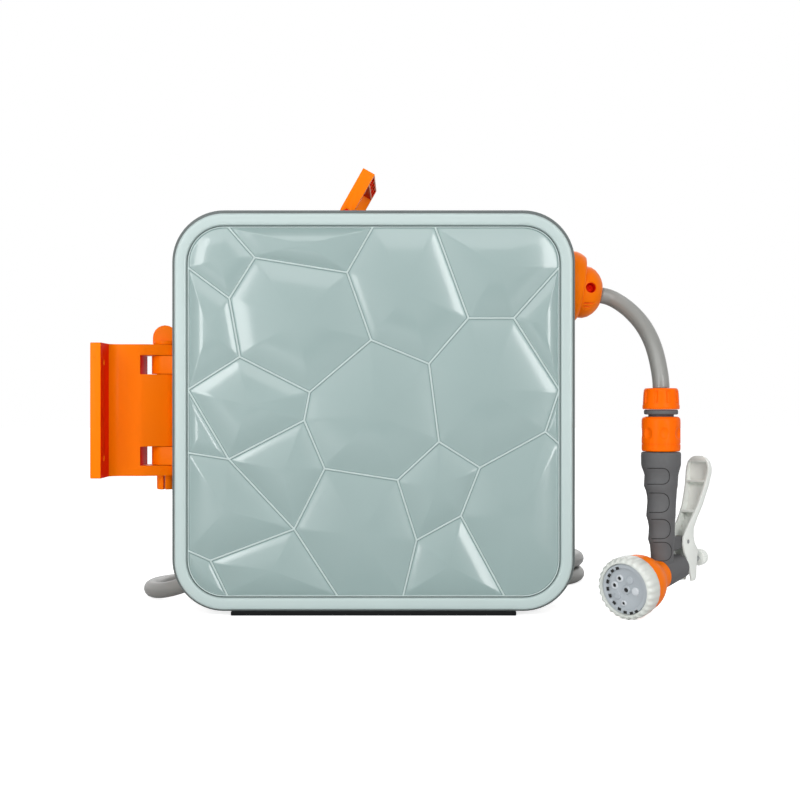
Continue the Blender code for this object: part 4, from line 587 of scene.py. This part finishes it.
def inward(corners, distance):
    """Moves each side of an anticlockwise outline inwards by a distance."""
    moved = []
    for i, here in enumerate(corners):
        before = (here - corners[i - 1]).normalized()
        after = (corners[(i + 1) % len(corners)] - here).normalized()
        one, two = Vector((-before.y, before.x)), Vector((-after.y, after.x))
        moved.append(here + (one + two) * distance / (1 + one.dot(two)))
    return moved


def divided(corners, counts):
    """The same outline with each side cut into a count of steps."""
    result = []
    for a, b, count in zip(corners, corners[1:] + corners[:1], counts):
        result += [a.lerp(b, i / count) for i in range(count)]
    return result


def middle_of(outline):
    """The middle of an outline's area."""
    total, middle = 0.0, Vector((0, 0))
    for a, b in zip(outline, outline[1:] + outline[:1]):
        cross = a.x * b.y - b.x * a.y
        total += cross
        middle += (a + b) * cross
    return middle / (3 * total)


# Band 1 is a rib's flat top, which takes the rim's paler plastic as a painted highlight; band 2 its flank,
# which takes a darker plastic as painted shade; and band 0 the rest of a cell
points, faces, bands, swelling = [], [], [], []
for words in CELLS:
    corners = cell_outline(words)
    counts = [max(1, math.ceil((b - a).length / SIDE_STEP))
              for a, b in zip(corners, corners[1:] + corners[:1])]
    rings = []
    for distance, drop in RIB_STEPS:
        rings.append([(p.x, p.y, RIB_TOP + drop) for p in divided(inward(corners, distance), counts)])
    inner = divided(inward(corners, RIB_STEPS[-1][0]), counts)
    centre = middle_of(inward(corners, RIB_STEPS[-1][0]))
    low = RIB_TOP + RIB_STEPS[-1][1]
    swell = min(SWELL * sum((p - centre).length for p in inner) / len(inner), MOST_SWELL)
    for part_in in PILLOW_SHARES:
        rise = low + swell * (1 - (1 - part_in) ** 2.2)
        rings.append([(*p.lerp(centre, part_in), rise) for p in inner])
    first, count = len(points), len(inner)
    points += [p for ring in rings for p in ring]
    for i in range(len(rings) - 1):
        for j in range(count):
            here, there = first + i * count, first + (i + 1) * count
            faces.append((here + j, here + (j + 1) % count, there + (j + 1) % count, there + j))
            bands.append(1 if i < 2 else 2 if i < 4 else 0)
    swelling += range(first + len(RIB_STEPS) * count, len(points) + 1)
    last = len(points) - count
    faces += [(last + j, last + (j + 1) % count, len(points)) for j in range(count)]
    bands += [0] * count
    points.append((*centre, low + swell))
mesh = bpy.data.meshes.new("cover_panel")
mesh.from_pydata(points, [], faces)
mesh.attributes.new("band", "INT", "FACE").data.foreach_set("value", bands)
panel = placed("cover_panel", mesh)
alone(panel)
swollen = set(swelling)
for vertex in panel.data.vertices:
    vertex.select = vertex.index in swollen
bpy.ops.object.mode_set(mode="EDIT")
bpy.ops.mesh.select_mode(type="VERT")
bpy.ops.mesh.vertices_smooth(factor=0.5, repeat=8, xaxis=False, yaxis=False, zaxis=True)
bpy.ops.mesh.select_all(action="SELECT")
bpy.ops.mesh.remove_doubles(threshold=0.00002)
bpy.ops.mesh.select_mode(type="EDGE")
bpy.ops.mesh.select_all(action="DESELECT")
bpy.ops.mesh.select_non_manifold()
bpy.ops.mesh.extrude_edges_move(TRANSFORM_OT_translate={"value": (0, 0, -PANEL_EDGE)})
bpy.ops.mesh.edge_face_add()
outward()
panel.data.transform(front)
eased(panel, 0, 40)
fitted(panel, "case", pale_cover, "pale_plastic", "front_cover")
# The rib tops take the rim's paler plastic as a painted highlight, and the flanks a darker plastic as
# painted shade.
panel.data.materials.append(pale_rim)
panel.data.materials.append(rib_crease_shade)
kinds = [kind.value for kind in panel.data.attributes["band"].data]
panel.data.polygons.foreach_set("material_index", kinds)
panel.data.attributes.remove(panel.data.attributes["band"])


# Hinge on the case. An orange plastic plate with two arms, fixed to the case's side by four steel
# screws. The arms' barrels take the pull-out pin.
def softened(node, name, width, angle=35):
    """A copy of a CAD solid, with the edges of its moulding eased."""
    piece = placed(name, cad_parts[node].data.copy())
    piece.data.name = name
    alone(piece)
    bpy.ops.mesh.customdata_custom_splitnormals_clear()
    opened()
    bpy.ops.mesh.remove_doubles(threshold=0.00001)
    bpy.ops.mesh.dissolve_limited(angle_limit=math.radians(0.5))
    bpy.ops.object.mode_set(mode="OBJECT")
    eased(piece, width, angle)
    return piece


HINGE_Z, HEAD_X, SLOT_BOTTOM, SLOT_LENGTH, SLOT_WIDTH = 0.2054, 0.2074, 0.2094, 0.0028, 0.0005
# A domed screw head on its shank, as distance from the plate and radius
HEAD_OUTLINE = [(0.0032, 0), (0.0030, 0.0022), (0.0021, 0.0041), (0.0008, 0.0052), (0, 0.0054), (0, 0.0030),
                (-0.006, 0.0028), (-0.0065, 0)]
orange = moulding("orange plastic", (255, 122, 0), 0.36, 0.04, 900, 0.02, dust=0.0, gloss=0.08)
steel = moulding("plain steel", (172, 174, 176), 0.28, 0.1, 1500, 0.05, metal=1.0, dust=0.05)
hinge = softened("hinge_bracket", "hinge_arms", 0.0007)
fitted(hinge, "case", orange, "orange_plastic", "hinge_bracket")
for number, (y, z) in enumerate([(y, HINGE_Z + z) for y in (-0.013, 0.013) for z in (-0.024, 0.024)], 1):
    head = turned(f"hinge_screw_{number}", HEAD_OUTLINE, (-HEAD_X, y, z), (-1, 0, 0), 32)
    for wide, high in ((SLOT_WIDTH, SLOT_LENGTH), (SLOT_LENGTH, SLOT_WIDTH)):
        carve(head, box((-HEAD_X - 0.0046, y - wide, z - high), (-SLOT_BOTTOM, y + wide, z + high)))
    eased(head, 0.0002)
    fitted(head, "case", steel, "steel")

# Wall bracket. One orange moulding: a plate that screws to the wall, a hollow web and the
# barrel in which the case's arms and the pin turn.
# The round mark in its front, and where its hollow web ends
MARK, MARK_DEPTH, MARK_RADIUS = Vector((-0.2815, -0.0760, 0.2592)), 0.0015, 0.0013
WEB_LIMIT = -0.236
# A darker orange that paints shade into the bracket's recesses, the handle's hollow, the pins' outer ends
# and the stop's pocket.
painted_shade_orange = moulding("orange with painted shade", (236, 32, 0), 0.5, 0.04, 900, 0.02, dust=0.0, gloss=0.05)
bracket = softened("wall_bracket", "bracket_moulding", 0.0009)
carve(bracket, rod(MARK, MARK + Vector((0, MARK_DEPTH, 0)), MARK_RADIUS, 20))
fitted(bracket, "bracket", orange, "orange_plastic", "wall_bracket")
# The faces that look towards the case, in the lip's side wall and the slots' walls, take the darker orange
# as painted shade.
bracket.data.materials.append(painted_shade_orange)
for face in bracket.data.polygons:
    if face.normal.x > 0.93 and face.center.x < WEB_LIMIT:
        face.material_index = 1

# Hinge pin. An orange plastic pin that drops through both barrels and is pulled out by its flat
# round-topped tab; its split end springs under the bracket.
pin = softened("hinge_pin", "hinge_pin_moulding", 0.0006)
fitted(pin, "pin", orange, "orange_plastic", "hinge_pin")

# Carry handle. A U-shaped orange moulding whose grip is a trough with cross ribs; it folds down
# into the well on two steel pins. The trough and the pins' outer ends take a darker orange as painted shade.
HANDLE_LEAN = math.radians(29.4)
# The grip's hollow, with the handle upright: half its length, half its depth, its floor and its top
HOLLOW_LENGTH, HOLLOW_DEEP, HOLLOW_LOW, HOLLOW_HIGH = 0.0553, 0.0062, 0.0335, 0.0448
PIN_END = 0.0612
handle = softened("carry_handle", "handle_moulding", 0.0005)
fitted(handle, "handle", orange, "orange_plastic", "carry_handle")
handle.data.materials.append(painted_shade_orange)
upright = Matrix.Rotation(-HANDLE_LEAN, 4, "Y") @ Matrix.Translation((-PIVOT_X, 0, -PIVOT_Z))
# The faces in the grip's hollow take the darker orange as painted shade.
for face in handle.data.polygons:
    place = upright @ face.center
    if abs(place.y) < HOLLOW_LENGTH and abs(place.x) < HOLLOW_DEEP and HOLLOW_LOW < place.z < HOLLOW_HIGH:
        face.material_index = 1
# The pins' outer ends take the darker orange as painted shade.
for name in ("handle_pin_front", "handle_pin_rear"):
    pivot_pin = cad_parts[name].data
    pivot_pin.materials.clear()
    pivot_pin.materials.append(steel)
    pivot_pin.materials.append(painted_shade_orange)
    for face in pivot_pin.polygons:
        if abs(face.center.y) > PIN_END:
            face.material_index = 1

# Outlet lip. A flared orange ring on the case's side, round the hose's way out. It is moulded
# plastic, wide enough at its mouth for the hose stop to seat in.
# Each ring of the lip: distance from the case, height of its middle, radius, lean in degrees
LIP_RINGS = [(0.0003, 0.3352, 0.0350, 0), (0.0030, 0.3354, 0.0361, 0), (0.0060, 0.3355, 0.0366, 0),
             (0.0085, 0.3354, 0.0362, 1.5), (0.0110, 0.3348, 0.0351, 4.5), (0.0130, 0.3339, 0.0336, 7.2),
             (0.0143, 0.3332, 0.0324, 8.6), (0.0146, 0.3330, 0.0312, 8.7)]
# The lip's inside, as distance along the hose's way and radius
FUNNEL_OUTLINE = [(-0.03, 0), (-0.03, 0.0125), (0.0020, 0.0125), (0.0100, 0.0278), (0.0118, 0.0290),
                  (0.0300, 0.0290), (0.0300, 0)]


def joined(pieces):
    """Joins pieces into the first of them."""
    alone(pieces[0])
    for piece in pieces[1:]:
        piece.select_set(True)
    bpy.ops.object.join()
    return pieces[0]


emptied()
hoops = []
for along, height, radius, lean in LIP_RINGS:
    place = (SIDE_X + along, OUTLET_START.y, height)
    leaning = (0, math.radians(90 + lean), 0)
    bpy.ops.mesh.primitive_circle_add(vertices=96, radius=radius, location=place, rotation=leaning)
    hoops.append(bpy.context.object)
lip = joined(hoops)
bpy.ops.object.transform_apply(location=True, rotation=True, scale=True)
lip.name = lip.data.name = "outlet_flare"
opened()
bpy.ops.mesh.select_mode(type="EDGE")
bpy.ops.mesh.bridge_edge_loops()
bpy.ops.mesh.fill_holes(sides=0)
outward()
carve(lip, turned("funnel", FUNNEL_OUTLINE, OUTLET_START, OUTLET_WAY, 96))
eased(lip, 0.0004, 40)
fitted(lip, "case", orange, "orange_plastic", "outlet_lip")

# Hose stop. Two orange halves clamped on the hose by a screw, which stop the hose at the outlet.
# The front half has the screw's round pocket, a notch by the lip and three short grip grooves.
GRIP_GROOVES, GROOVE_HEIGHT = (0.3160, 0.3128, 0.3096), 0.0008
# How far along the stop the notch and the grooves reach, and how deep; and a place in front of it
NOTCH_START, NOTCH_END, GROOVE_END = 0.2135, 0.2165, 0.2330
NOTCH_FLOOR, GROOVE_FLOOR, OUTSIDE = -0.020, -0.0352, -0.050
CLAMP_X, CLAMP_Z, POCKET_RADIUS, POCKET_FLOOR = 0.2237, 0.3320, 0.0046, -0.0290
# The clamp screw's head with its socket, as distance from the pocket's floor and radius
SOCKET_OUTLINE = [(0, 0), (0, 0.0040), (-0.0020, 0.0040), (-0.0026, 0.0034), (-0.0026, 0.0012),
                  (-0.0012, 0.0012), (-0.0012, 0)]
rear_half = softened("stop_half_rear", "stop_rear", 0.0004, 30)
fitted(rear_half, "case", orange, "orange_plastic", "stop_half_rear")
front_half = softened("stop_half_front", "stop_front", 0, 30)
for z in GRIP_GROOVES:
    low, high = z - GROOVE_HEIGHT, z + GROOVE_HEIGHT
    carve(front_half, box((NOTCH_END, OUTSIDE, low), (GROOVE_END, GROOVE_FLOOR, high)))
carve(front_half, box((NOTCH_START, OUTSIDE, 0.3515), (NOTCH_END, NOTCH_FLOOR, 0.3590)))
carve(front_half, rod((CLAMP_X, OUTSIDE, CLAMP_Z), (CLAMP_X, POCKET_FLOOR, CLAMP_Z), POCKET_RADIUS))
eased(front_half, 0.0003, 30)
fitted(front_half, "case", orange, "orange_plastic", "stop_half_front")
front_half.data.materials.append(painted_shade_orange)
# The faces at the pocket's bottom take the darker orange as painted shade.
for face in front_half.data.polygons:
    off_middle = math.hypot(face.center.x - CLAMP_X, face.center.z - CLAMP_Z)
    if off_middle < POCKET_RADIUS + 0.0001 and face.center.y < POCKET_FLOOR + 0.0005:
        face.material_index = 1
# The steel clamp screw is drawn in the darker orange, as painted shade at the bottom of its pocket.
clamp_screw = turned("clamp_screw", SOCKET_OUTLINE, (CLAMP_X, POCKET_FLOOR - 0.0002, CLAMP_Z), (0, 1, 0), 32)
eased(clamp_screw, 0.0001)
fitted(clamp_screw, "case", painted_shade_orange, "steel", "stop_screw")


# Quick connectors. An orange clamping nut with round grooves, a grey body and an orange sliding
# collar with a ring of thumb dimples: one joins the nozzle to its hose, one ends the inlet hose.
FLUTE_RADIUS, FLUTES, FIRST_FLUTE = 0.0022, 9, math.radians(-14)
THUMB_RADIUS, THUMBS, THUMB_ALONG, THUMB_OUT = 0.0105, 7, 0.0455, 0.0280
# The outlines are distances from the connector's hose end and radii
NUT_OUTLINE = [(0.0012, 0.0088), (0.0012, 0.0112), (0.0, 0.0122), (0.0, 0.0154), (0.0010, 0.0167),
               (0.0030, 0.0174), (0.0060, 0.0177), (0.0110, 0.0180), (0.0165, 0.0183), (0.0180, 0.0187),
               (0.0205, 0.0187), (0.0214, 0.0178), (0.0214, 0.0088)]
CORE_OUTLINE = [(0.0217, 0), (0.0217, 0.0160), (0.0224, 0.0170), (0.0242, 0.0172), (0.0260, 0.0170),
                (0.0267, 0.0160), (0.0267, 0.0128), (0.0536, 0.0128), (0.0536, 0)]
COLLAR_OUTLINE = [(0.0288, 0.0131), (0.0288, 0.0166), (0.0294, 0.0180), (0.0306, 0.0190), (0.0325, 0.0195),
                  (0.0615, 0.0195), (0.0630, 0.0192), (0.0638, 0.0184), (0.0638, 0.0131)]
GROOVE_OUTLINE = [(0.0560, 0.0189), (0.0560, 0.0210), (0.0568, 0.0210), (0.0568, 0.0189)]
fitting_orange = moulding("fitting orange plastic", (255, 106, 0), 0.36, 0.04, 900, 0.02, dust=0.0,
                          gloss=0.08)
grip_skin = moulding("grip plastic", (94, 94, 95), 0.62, 0.30, 1300, 0.05, dust=0.1, gloss=0.3)


def repeated(cutter, count, base, way):
    """Copies a cutter round an axis and joins the copies into one."""
    copies = [cutter]
    for number in range(1, count):
        copy = placed(cutter.name, cutter.data.copy())
        turn = Matrix.Rotation(2 * math.pi * number / count, 4, way)
        copy.data.transform(Matrix.Translation(base) @ turn @ Matrix.Translation(-base))
        copies.append(copy)
    return joined(copies)


for label, top, way, body in (("nozzle", CONNECTOR_TOP, Vector((0, 0, -1)), "collar"),
                              ("tap", TAP_TOP, Vector((-1, 0, 0)), "tap_collar")):
    side = Vector((0, -1, 0))
    nut = turned(f"{label}_nut", NUT_OUTLINE, top, way, 84)
    turned_side = Matrix.Rotation(FIRST_FLUTE, 3, way) @ side
    low, high = top + 0.0024 * way + 0.0180 * turned_side, top + 0.0150 * way + 0.0189 * turned_side
    carve(nut, repeated(rod(low, high, FLUTE_RADIUS, 16), FLUTES, top, way))
    eased(nut, 0.0003, 30)
    fitted(nut, "case", fitting_orange, "orange_plastic", f"{label}_connector_nut")
    core = turned(f"{label}_connector_core", CORE_OUTLINE, top, way, 64)
    eased(core, 0.0002, 30)
    fitted(core, "case", grip_skin, "grey_plastic", f"{label}_connector_body")
    collar = turned(f"{label}_collar", COLLAR_OUTLINE, top, way, 96)
    emptied()
    bpy.ops.mesh.primitive_uv_sphere_add(segments=48, ring_count=24, radius=THUMB_RADIUS)
    ball = bpy.context.object
    ball.data.transform(Matrix.Translation(top + THUMB_ALONG * way + THUMB_OUT * side))
    carve(collar, repeated(ball, THUMBS, top, way))
    carve(collar, turned("groove", GROOVE_OUTLINE, top, way, 96))
    eased(collar, 0.0002, 30)
    fitted(collar, body, fitting_orange, "orange_plastic", f"{label}_connector_collar")

# Spray nozzle, its body. A grey pistol grip that hangs from the connector, with swells for the
# fingers, and a short barrel across its foot with an ear for the trigger's pin.
NOZZLE = Matrix.Translation((0.291, -0.070, 0)) @ Matrix.Rotation(math.radians(49.8), 4, "Z")
BARREL_Z, TILT = 0.040, math.radians(7.5)
# The picture's width and the lens, both in pixels
PICTURE = 800
FOCUS = PICTURE * LENS / SENSOR
# The boxes round the grip's four grooves in the picture, which are drawn as black lines of painted shade:
# left, right, top and bottom in pixels
SHADE_LINE_BOXES = [(647.5, 669.4, 468.3, 484.2), (649.5, 669.2, 493.0, 512.4),
              (651.5, 670.3, 519.3, 538.7), (653.5, 671.5, 542.2, 561)]
SHADE_LINE_WIDTH, SHADE_LINE_ROUNDNESS = 0.0008, 0.8
# Black rubber; the same black also serves as painted shade in the grip's grooves, the spray slots and the
# outlets' bores.
rubber = moulding("black rubber", (24, 24, 24), 0.75, 0.2, 900, 0.1)


def barrel_point(along, up=0.0):
    """A place on the barrel's axis, from the grip's middle forwards, and square to it."""
    return NOZZLE @ Vector((-along * math.cos(TILT) - up * math.sin(TILT), 0,
                            BARREL_Z - along * math.sin(TILT) + up * math.cos(TILT)))


def sight(px, py):
    """The way from the camera to what it sees at a pixel of the picture."""
    return Vector(((px - PICTURE / 2) / FOCUS, 1, (PICTURE / 2 - py) / FOCUS))


BARREL_WAY = (barrel_point(1) - barrel_point(0)).normalized()
nozzle_body = softened("nozzle_body", "nozzle_core", 0.0004)
fitted(nozzle_body, "case", grip_skin, "grip_grey", "nozzle_body")
# The sleeve on the grip from the top down: height, half depth, half width, shift along the barrel
GRIP = [
    (0.1632, 0.0190, 0.0190, 0.0), (0.1626, 0.0199, 0.0199, 0.0), (0.1600, 0.0201, 0.0201, 0.0),
    (0.1510, 0.0200, 0.0200, 0.0), (0.1480, 0.0194, 0.0194, 0.0), (0.1440, 0.0182, 0.0180, 0.0004),
    (0.1400, 0.0172, 0.0169, 0.0007), (0.1340, 0.0172, 0.0169, 0.0000), (0.1290, 0.0174, 0.0168, -0.0005),
    (0.1240, 0.0160, 0.0154, 0.0007), (0.1180, 0.0150, 0.0148, 0.0015), (0.1130, 0.0148, 0.0144, 0.0014),
    (0.1060, 0.0155, 0.0143, 0.0005), (0.0990, 0.0160, 0.0144, -0.0002), (0.0930, 0.0148, 0.0133, 0.0010),
    (0.0870, 0.0140, 0.0128, 0.0017), (0.0810, 0.0144, 0.0127, 0.0012), (0.0750, 0.0150, 0.0128, 0.0006),
    (0.0690, 0.0138, 0.0115, 0.0018), (0.0620, 0.0133, 0.0111, 0.0022), (0.0520, 0.0132, 0.0108, 0.0024),
]
emptied()
height, deep, wide, shift = GRIP[0]
bpy.ops.mesh.primitive_circle_add(vertices=48, radius=1, fill_type="NGON")
sleeve = bpy.context.object
sleeve.name = sleeve.data.name = "grip_sleeve"
opened()
bpy.ops.mesh.select_mode(type="FACE")
bpy.ops.transform.resize(value=(deep, wide, 1), center_override=(0, 0, 0))
bpy.ops.transform.translate(value=(shift, 0, height))
for now, then in zip(GRIP[1:], GRIP):
    step, growth = (now[3] - then[3], 0, now[0] - then[0]), (now[1] / then[1], now[2] / then[2], 1)
    bpy.ops.mesh.extrude_region_move(TRANSFORM_OT_translate={"value": step})
    bpy.ops.transform.resize(value=growth, center_override=(now[3], 0, now[0]))
outward()
sleeve.data.transform(NOZZLE)
eased(sleeve, 0.0, 50)
fitted(sleeve, "case", grip_skin, "grip_grey")
bpy.context.view_layer.update()
# Each groove is drawn as a thin black tube laid on the grip, as painted shade.
for number, (left, right, top, bottom) in enumerate(SHADE_LINE_BOXES, 1):
    half = (bottom - top) / 2
    straight = [left + (right - half - left) * i / 10 for i in range(10)]
    spots = [(px, top) for px in straight]
    for angle in [math.pi * i / 16 for i in range(17)]:
        upwards = math.copysign(abs(math.cos(angle)) ** SHADE_LINE_ROUNDNESS, math.cos(angle))
        spots.append((right - half + half * math.sin(angle) ** SHADE_LINE_ROUNDNESS, top + half - half * upwards))
    spots += [(px, bottom) for px in reversed(straight)]
    met = [sleeve.ray_cast(camera.location, sight(*spot).normalized()) for spot in spots]
    shade_line = [place for hit, place, normal, index in met if hit]
    fitted(tube(f"grip_groove_shade_{number}", shade_line, SHADE_LINE_WIDTH, 1), "case", rubber, "rubber")

# Bell and spray head. An orange bell carries a light grey dial ring with a scalloped edge, and a
# grey face with a ring of slots and the outlets of the other sprays.
# The outlines are distances along the barrel and radii
BELL_LINE = [(0.0050, 0.0146, 0), (0.0060, 0.0155, 0), (0.0140, 0.0158, 0), (0.0200, 0.0176, 0),
             (0.0270, 0.0225, 0), (0.0350, 0.0268, 0), (0.0430, 0.0289, 0), (0.0530, 0.0290, 0)]
RING_OUTLINE = [(0.0533, 0.0254), (0.0533, 0.0296), (0.0540, 0.0304), (0.0560, 0.0310), (0.0640, 0.0312),
                (0.0672, 0.0308), (0.0695, 0.0298), (0.0712, 0.0284), (0.0719, 0.0272), (0.0718, 0.0260),
                (0.0700, 0.0254)]
DISC_OUTLINE = [(0.0533, 0.0084), (0.0533, 0.0250), (0.0698, 0.0250), (0.0700, 0.0248), (0.0700, 0.0212),
                (0.0696, 0.0208), (0.0682, 0.0206), (0.0680, 0.0200), (0.0680, 0.0034), (0.0674, 0.0032),
                (0.0666, 0.0084)]
SCALLOPS, SCALLOP_HEIGHT, RIM_ALONG, FACE_ALONG = 28, 0.0007, 0.0700, 0.0680
# Where the slots lie in the picture, in pixels
SLOT_SPOTS = [(617.4, 568.4), (612.4, 570.9), (609.2, 575.3), (607.6, 581.5), (607.8, 588.7), (610.1, 595.7),
              (614.2, 602.8), (619.4, 609), (625.2, 612.3), (631.5, 613.2), (636.4, 611.5)]
light_plastic = moulding("light grey plastic", (212, 215, 209), 0.38, 0.05, 900, 0.03, 0.2)
face_plastic = moulding("spray face plastic", (172, 178, 183), 0.5, 0.2, 1300, 0.04, dust=0.0)
outlet_plastic = moulding("pale outlet plastic", (200, 204, 208), 0.45, 0.1, 1300, 0.03)
# Each outlet or disc: its name, its place in the picture, its radius and finish, and if it is hollow
OUTLETS = [
    ("ringed_outlet_1", (619.9, 578.3), 0.0036, outlet_plastic, True),
    ("ringed_outlet_2", (614.9, 585), 0.0036, outlet_plastic, True),
    ("middle_outlet", (626.5, 590), 0.0042, face_plastic, True),
    ("raised_disc_1", (629.8, 580.4), 0.0036, face_plastic, False),
    ("white_lens", (635.6, 591.6), 0.0038, outlet_plastic, False),
    ("raised_disc_2", (617.8, 595.3), 0.0036, face_plastic, False),
    ("small_outlet", (624, 603.2), 0.0028, outlet_plastic, True),
]


def waved(piece, waves, least, lift):
    """Moves the points beyond a least radius outwards, by what lift makes of their place and wave."""
    for point in piece.data.vertices:
        out = point.co - barrel_point(0)
        along = out.dot(BARREL_WAY)
        out -= along * BARREL_WAY
        if out.length > least:
            turn = math.atan2(out.dot(BARREL_WAY.cross((0, 0, 1)).normalized()), out.z)
            point.co += out.normalized() * lift(along, math.cos(waves * turn))


def scallop(along, wave):
    """How high a scallop stands: in full at the ring's front, low at its side, and not at all behind."""
    share = min(max((along - 0.0600) / 0.0080, 0.15), 1)
    return SCALLOP_HEIGHT * share * wave if along > 0.0538 else 0


def on_face(px, py, along):
    """The place that the camera sees at a pixel, on the spray face at a distance along the barrel."""
    eye, towards = camera.location, sight(px, py)
    reach = (barrel_point(along) - eye).dot(BARREL_WAY) / towards.dot(BARREL_WAY)
    return eye + reach * towards


profile = [(p.x, p.y) for p in smooth_line(BELL_LINE, 0.0015, (1, 0, 0), (1, 0, 0))]
bell = turned("bell", [(0.0050, 0.0084), *profile, (0.0530, 0.0084)], barrel_point(0), BARREL_WAY, 96)
eased(bell, 0, 30)
fitted(bell, "case", orange, "orange_plastic", "nozzle_bell")
ring = turned("scalloped_ring", RING_OUTLINE, barrel_point(0), BARREL_WAY, 180)
waved(ring, SCALLOPS, 0.0265, scallop)
eased(ring, 0, 50)
fitted(ring, "spray_head", light_plastic, "light_grey", "dial_ring")
disc = turned("spray_disc", DISC_OUTLINE, barrel_point(0), BARREL_WAY, 96)
eased(disc, 0.0002, 30)
fitted(disc, "spray_head", face_plastic, "face_grey", "spray_face")
# The slots are drawn as thin black slabs on the face, as painted shade.
for number, spot in enumerate(SLOT_SPOTS, 1):
    place = on_face(*spot, RIM_ALONG)
    out = (place - barrel_point(RIM_ALONG)).normalized()
    slot_shade = box((-0.0014, -0.0019, -0.0003), (0.0014, 0.0019, 0.0003), f"spray_slot_shade_{number}")
    turn = Matrix((out, BARREL_WAY.cross(out), BARREL_WAY)).transposed().to_4x4()
    slot_shade.data.transform(Matrix.Translation(place) @ turn)
    eased(slot_shade, 0.0002)
    fitted(slot_shade, "spray_head", rubber, "rubber")
for name, spot, radius, material, is_hollow in OUTLETS:
    place, hollow = on_face(*spot, FACE_ALONG), radius * 0.6
    shape = [(-0.0003, radius + 0.0004), (0.0010, radius), (0.0014, radius - 0.0004)]
    if is_hollow:
        shape += [(0.0014, hollow), (0.0006, hollow - 0.0002), (-0.0003, hollow - 0.0002)]
    else:
        shape = [(-0.0003, 0)] + shape + [(0.0014, 0)]
    boss = turned(name, shape, place, BARREL_WAY, 40)
    eased(boss, 0.0001, 30)
    fitted(boss, "spray_head", material, "face_grey")
    # A black disc closes each hollow outlet's bore, as painted shade.
    if is_hollow:
        bottom = [(-0.0004, 0), (-0.0004, hollow), (0.0002, hollow), (0.0002, 0)]
        bore_shade = turned(f"{name}_bore", bottom, place, BARREL_WAY, 24)
        fitted(bore_shade, "spray_head", rubber, "rubber")

# Trigger. A light grey plastic channel with cross ribs that turns on a steel pin in the body's
# ear; its forked tail pulls the valve stem, and the ridged knob on the stem sets the flow.
# The knob's outline, as distances along the barrel and radii, and its ridges
KNOB_OUTLINE = [(-0.0752, 0), (-0.0752, 0.0078), (-0.0756, 0.0084), (-0.0780, 0.0085), (-0.0830, 0.0085),
                (-0.0844, 0.0082), (-0.0850, 0.0074), (-0.0850, 0)]
RIDGES, RIDGE_DEPTH = 24, 0.0003
# The spring's start along the barrel, its length, its place below the axis, its radius and its wire
SPRING_START, SPRING_LENGTH, SPRING_UP, SPRING_RADIUS, WIRE = -0.0365, 0.0130, -0.0085, 0.0042, 0.0008
# A lighter copy of the light grey plastic for the trigger and the knob, as painted light.
painted_light_grey = moulding("light grey plastic with painted light", (240, 243, 237), 0.38, 0.05, 900, 0.03, 0.2)
trigger = softened("trigger_lever", "trigger_moulding", 0.0004)
fitted(trigger, "lever", painted_light_grey, "light_grey", "trigger_lever")
knob = turned("ridged_knob", KNOB_OUTLINE, barrel_point(0), BARREL_WAY, 120)
waved(knob, RIDGES, 0.0070, lambda along, wave: RIDGE_DEPTH * (wave - 1))
eased(knob, 0, 40)
fitted(knob, "knob", painted_light_grey, "light_grey", "flow_knob")
across = BARREL_WAY.orthogonal().normalized()
over = BARREL_WAY.cross(across).normalized()
helix = [barrel_point(SPRING_START - SPRING_LENGTH * i / 120, SPRING_UP)
         + SPRING_RADIUS * (math.cos(i / 4) * across + math.sin(i / 4) * over)
         for i in range(121)]
fitted(tube("return_spring", helix, WIRE, 2), "case", steel, "steel")

# Inner works and small hardware. The drum with its wound hose, the spring cassette, the ratchet,
# the level wind and the axle keep their CAD shapes, each with the finish of its material.
nylon = moulding("natural nylon", (222, 219, 208), 0.45, 0.05, 600, 0.03)
dark_plastic = moulding("black drum plastic", (30, 31, 32), 0.5, 0.15, 800, 0.1)
for material, names in (
    (dark_plastic, ("drum_core", "drum_flange_front", "drum_flange_rear", "hub_pipe", "spring_cassette")),
    (hose_skin, ("hose_lead", "hose_winding", "inlet_hose_inside")),
    (nylon, ("axle_post", "axle_cap", "ratchet_wheel", "pawl", "drum_pulley", "screw_pulley", "guide_frame",
             "guide_roller_front", "guide_roller_rear")),
    (orange, ("guide_carriage",)),
    (rubber, ("axle_seal_front", "axle_seal_rear", "guide_belt", "hose_grommet")),
    (steel, ("case_screw_1", "case_screw_2", "case_screw_3", "case_screw_4", "lever_pin", "pawl_pin",
             "mainspring", "guide_screw", "guide_rod", "valve_stem")),
):
    for name in names:
        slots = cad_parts[name].data.materials
        slots.clear()
        slots.append(material)
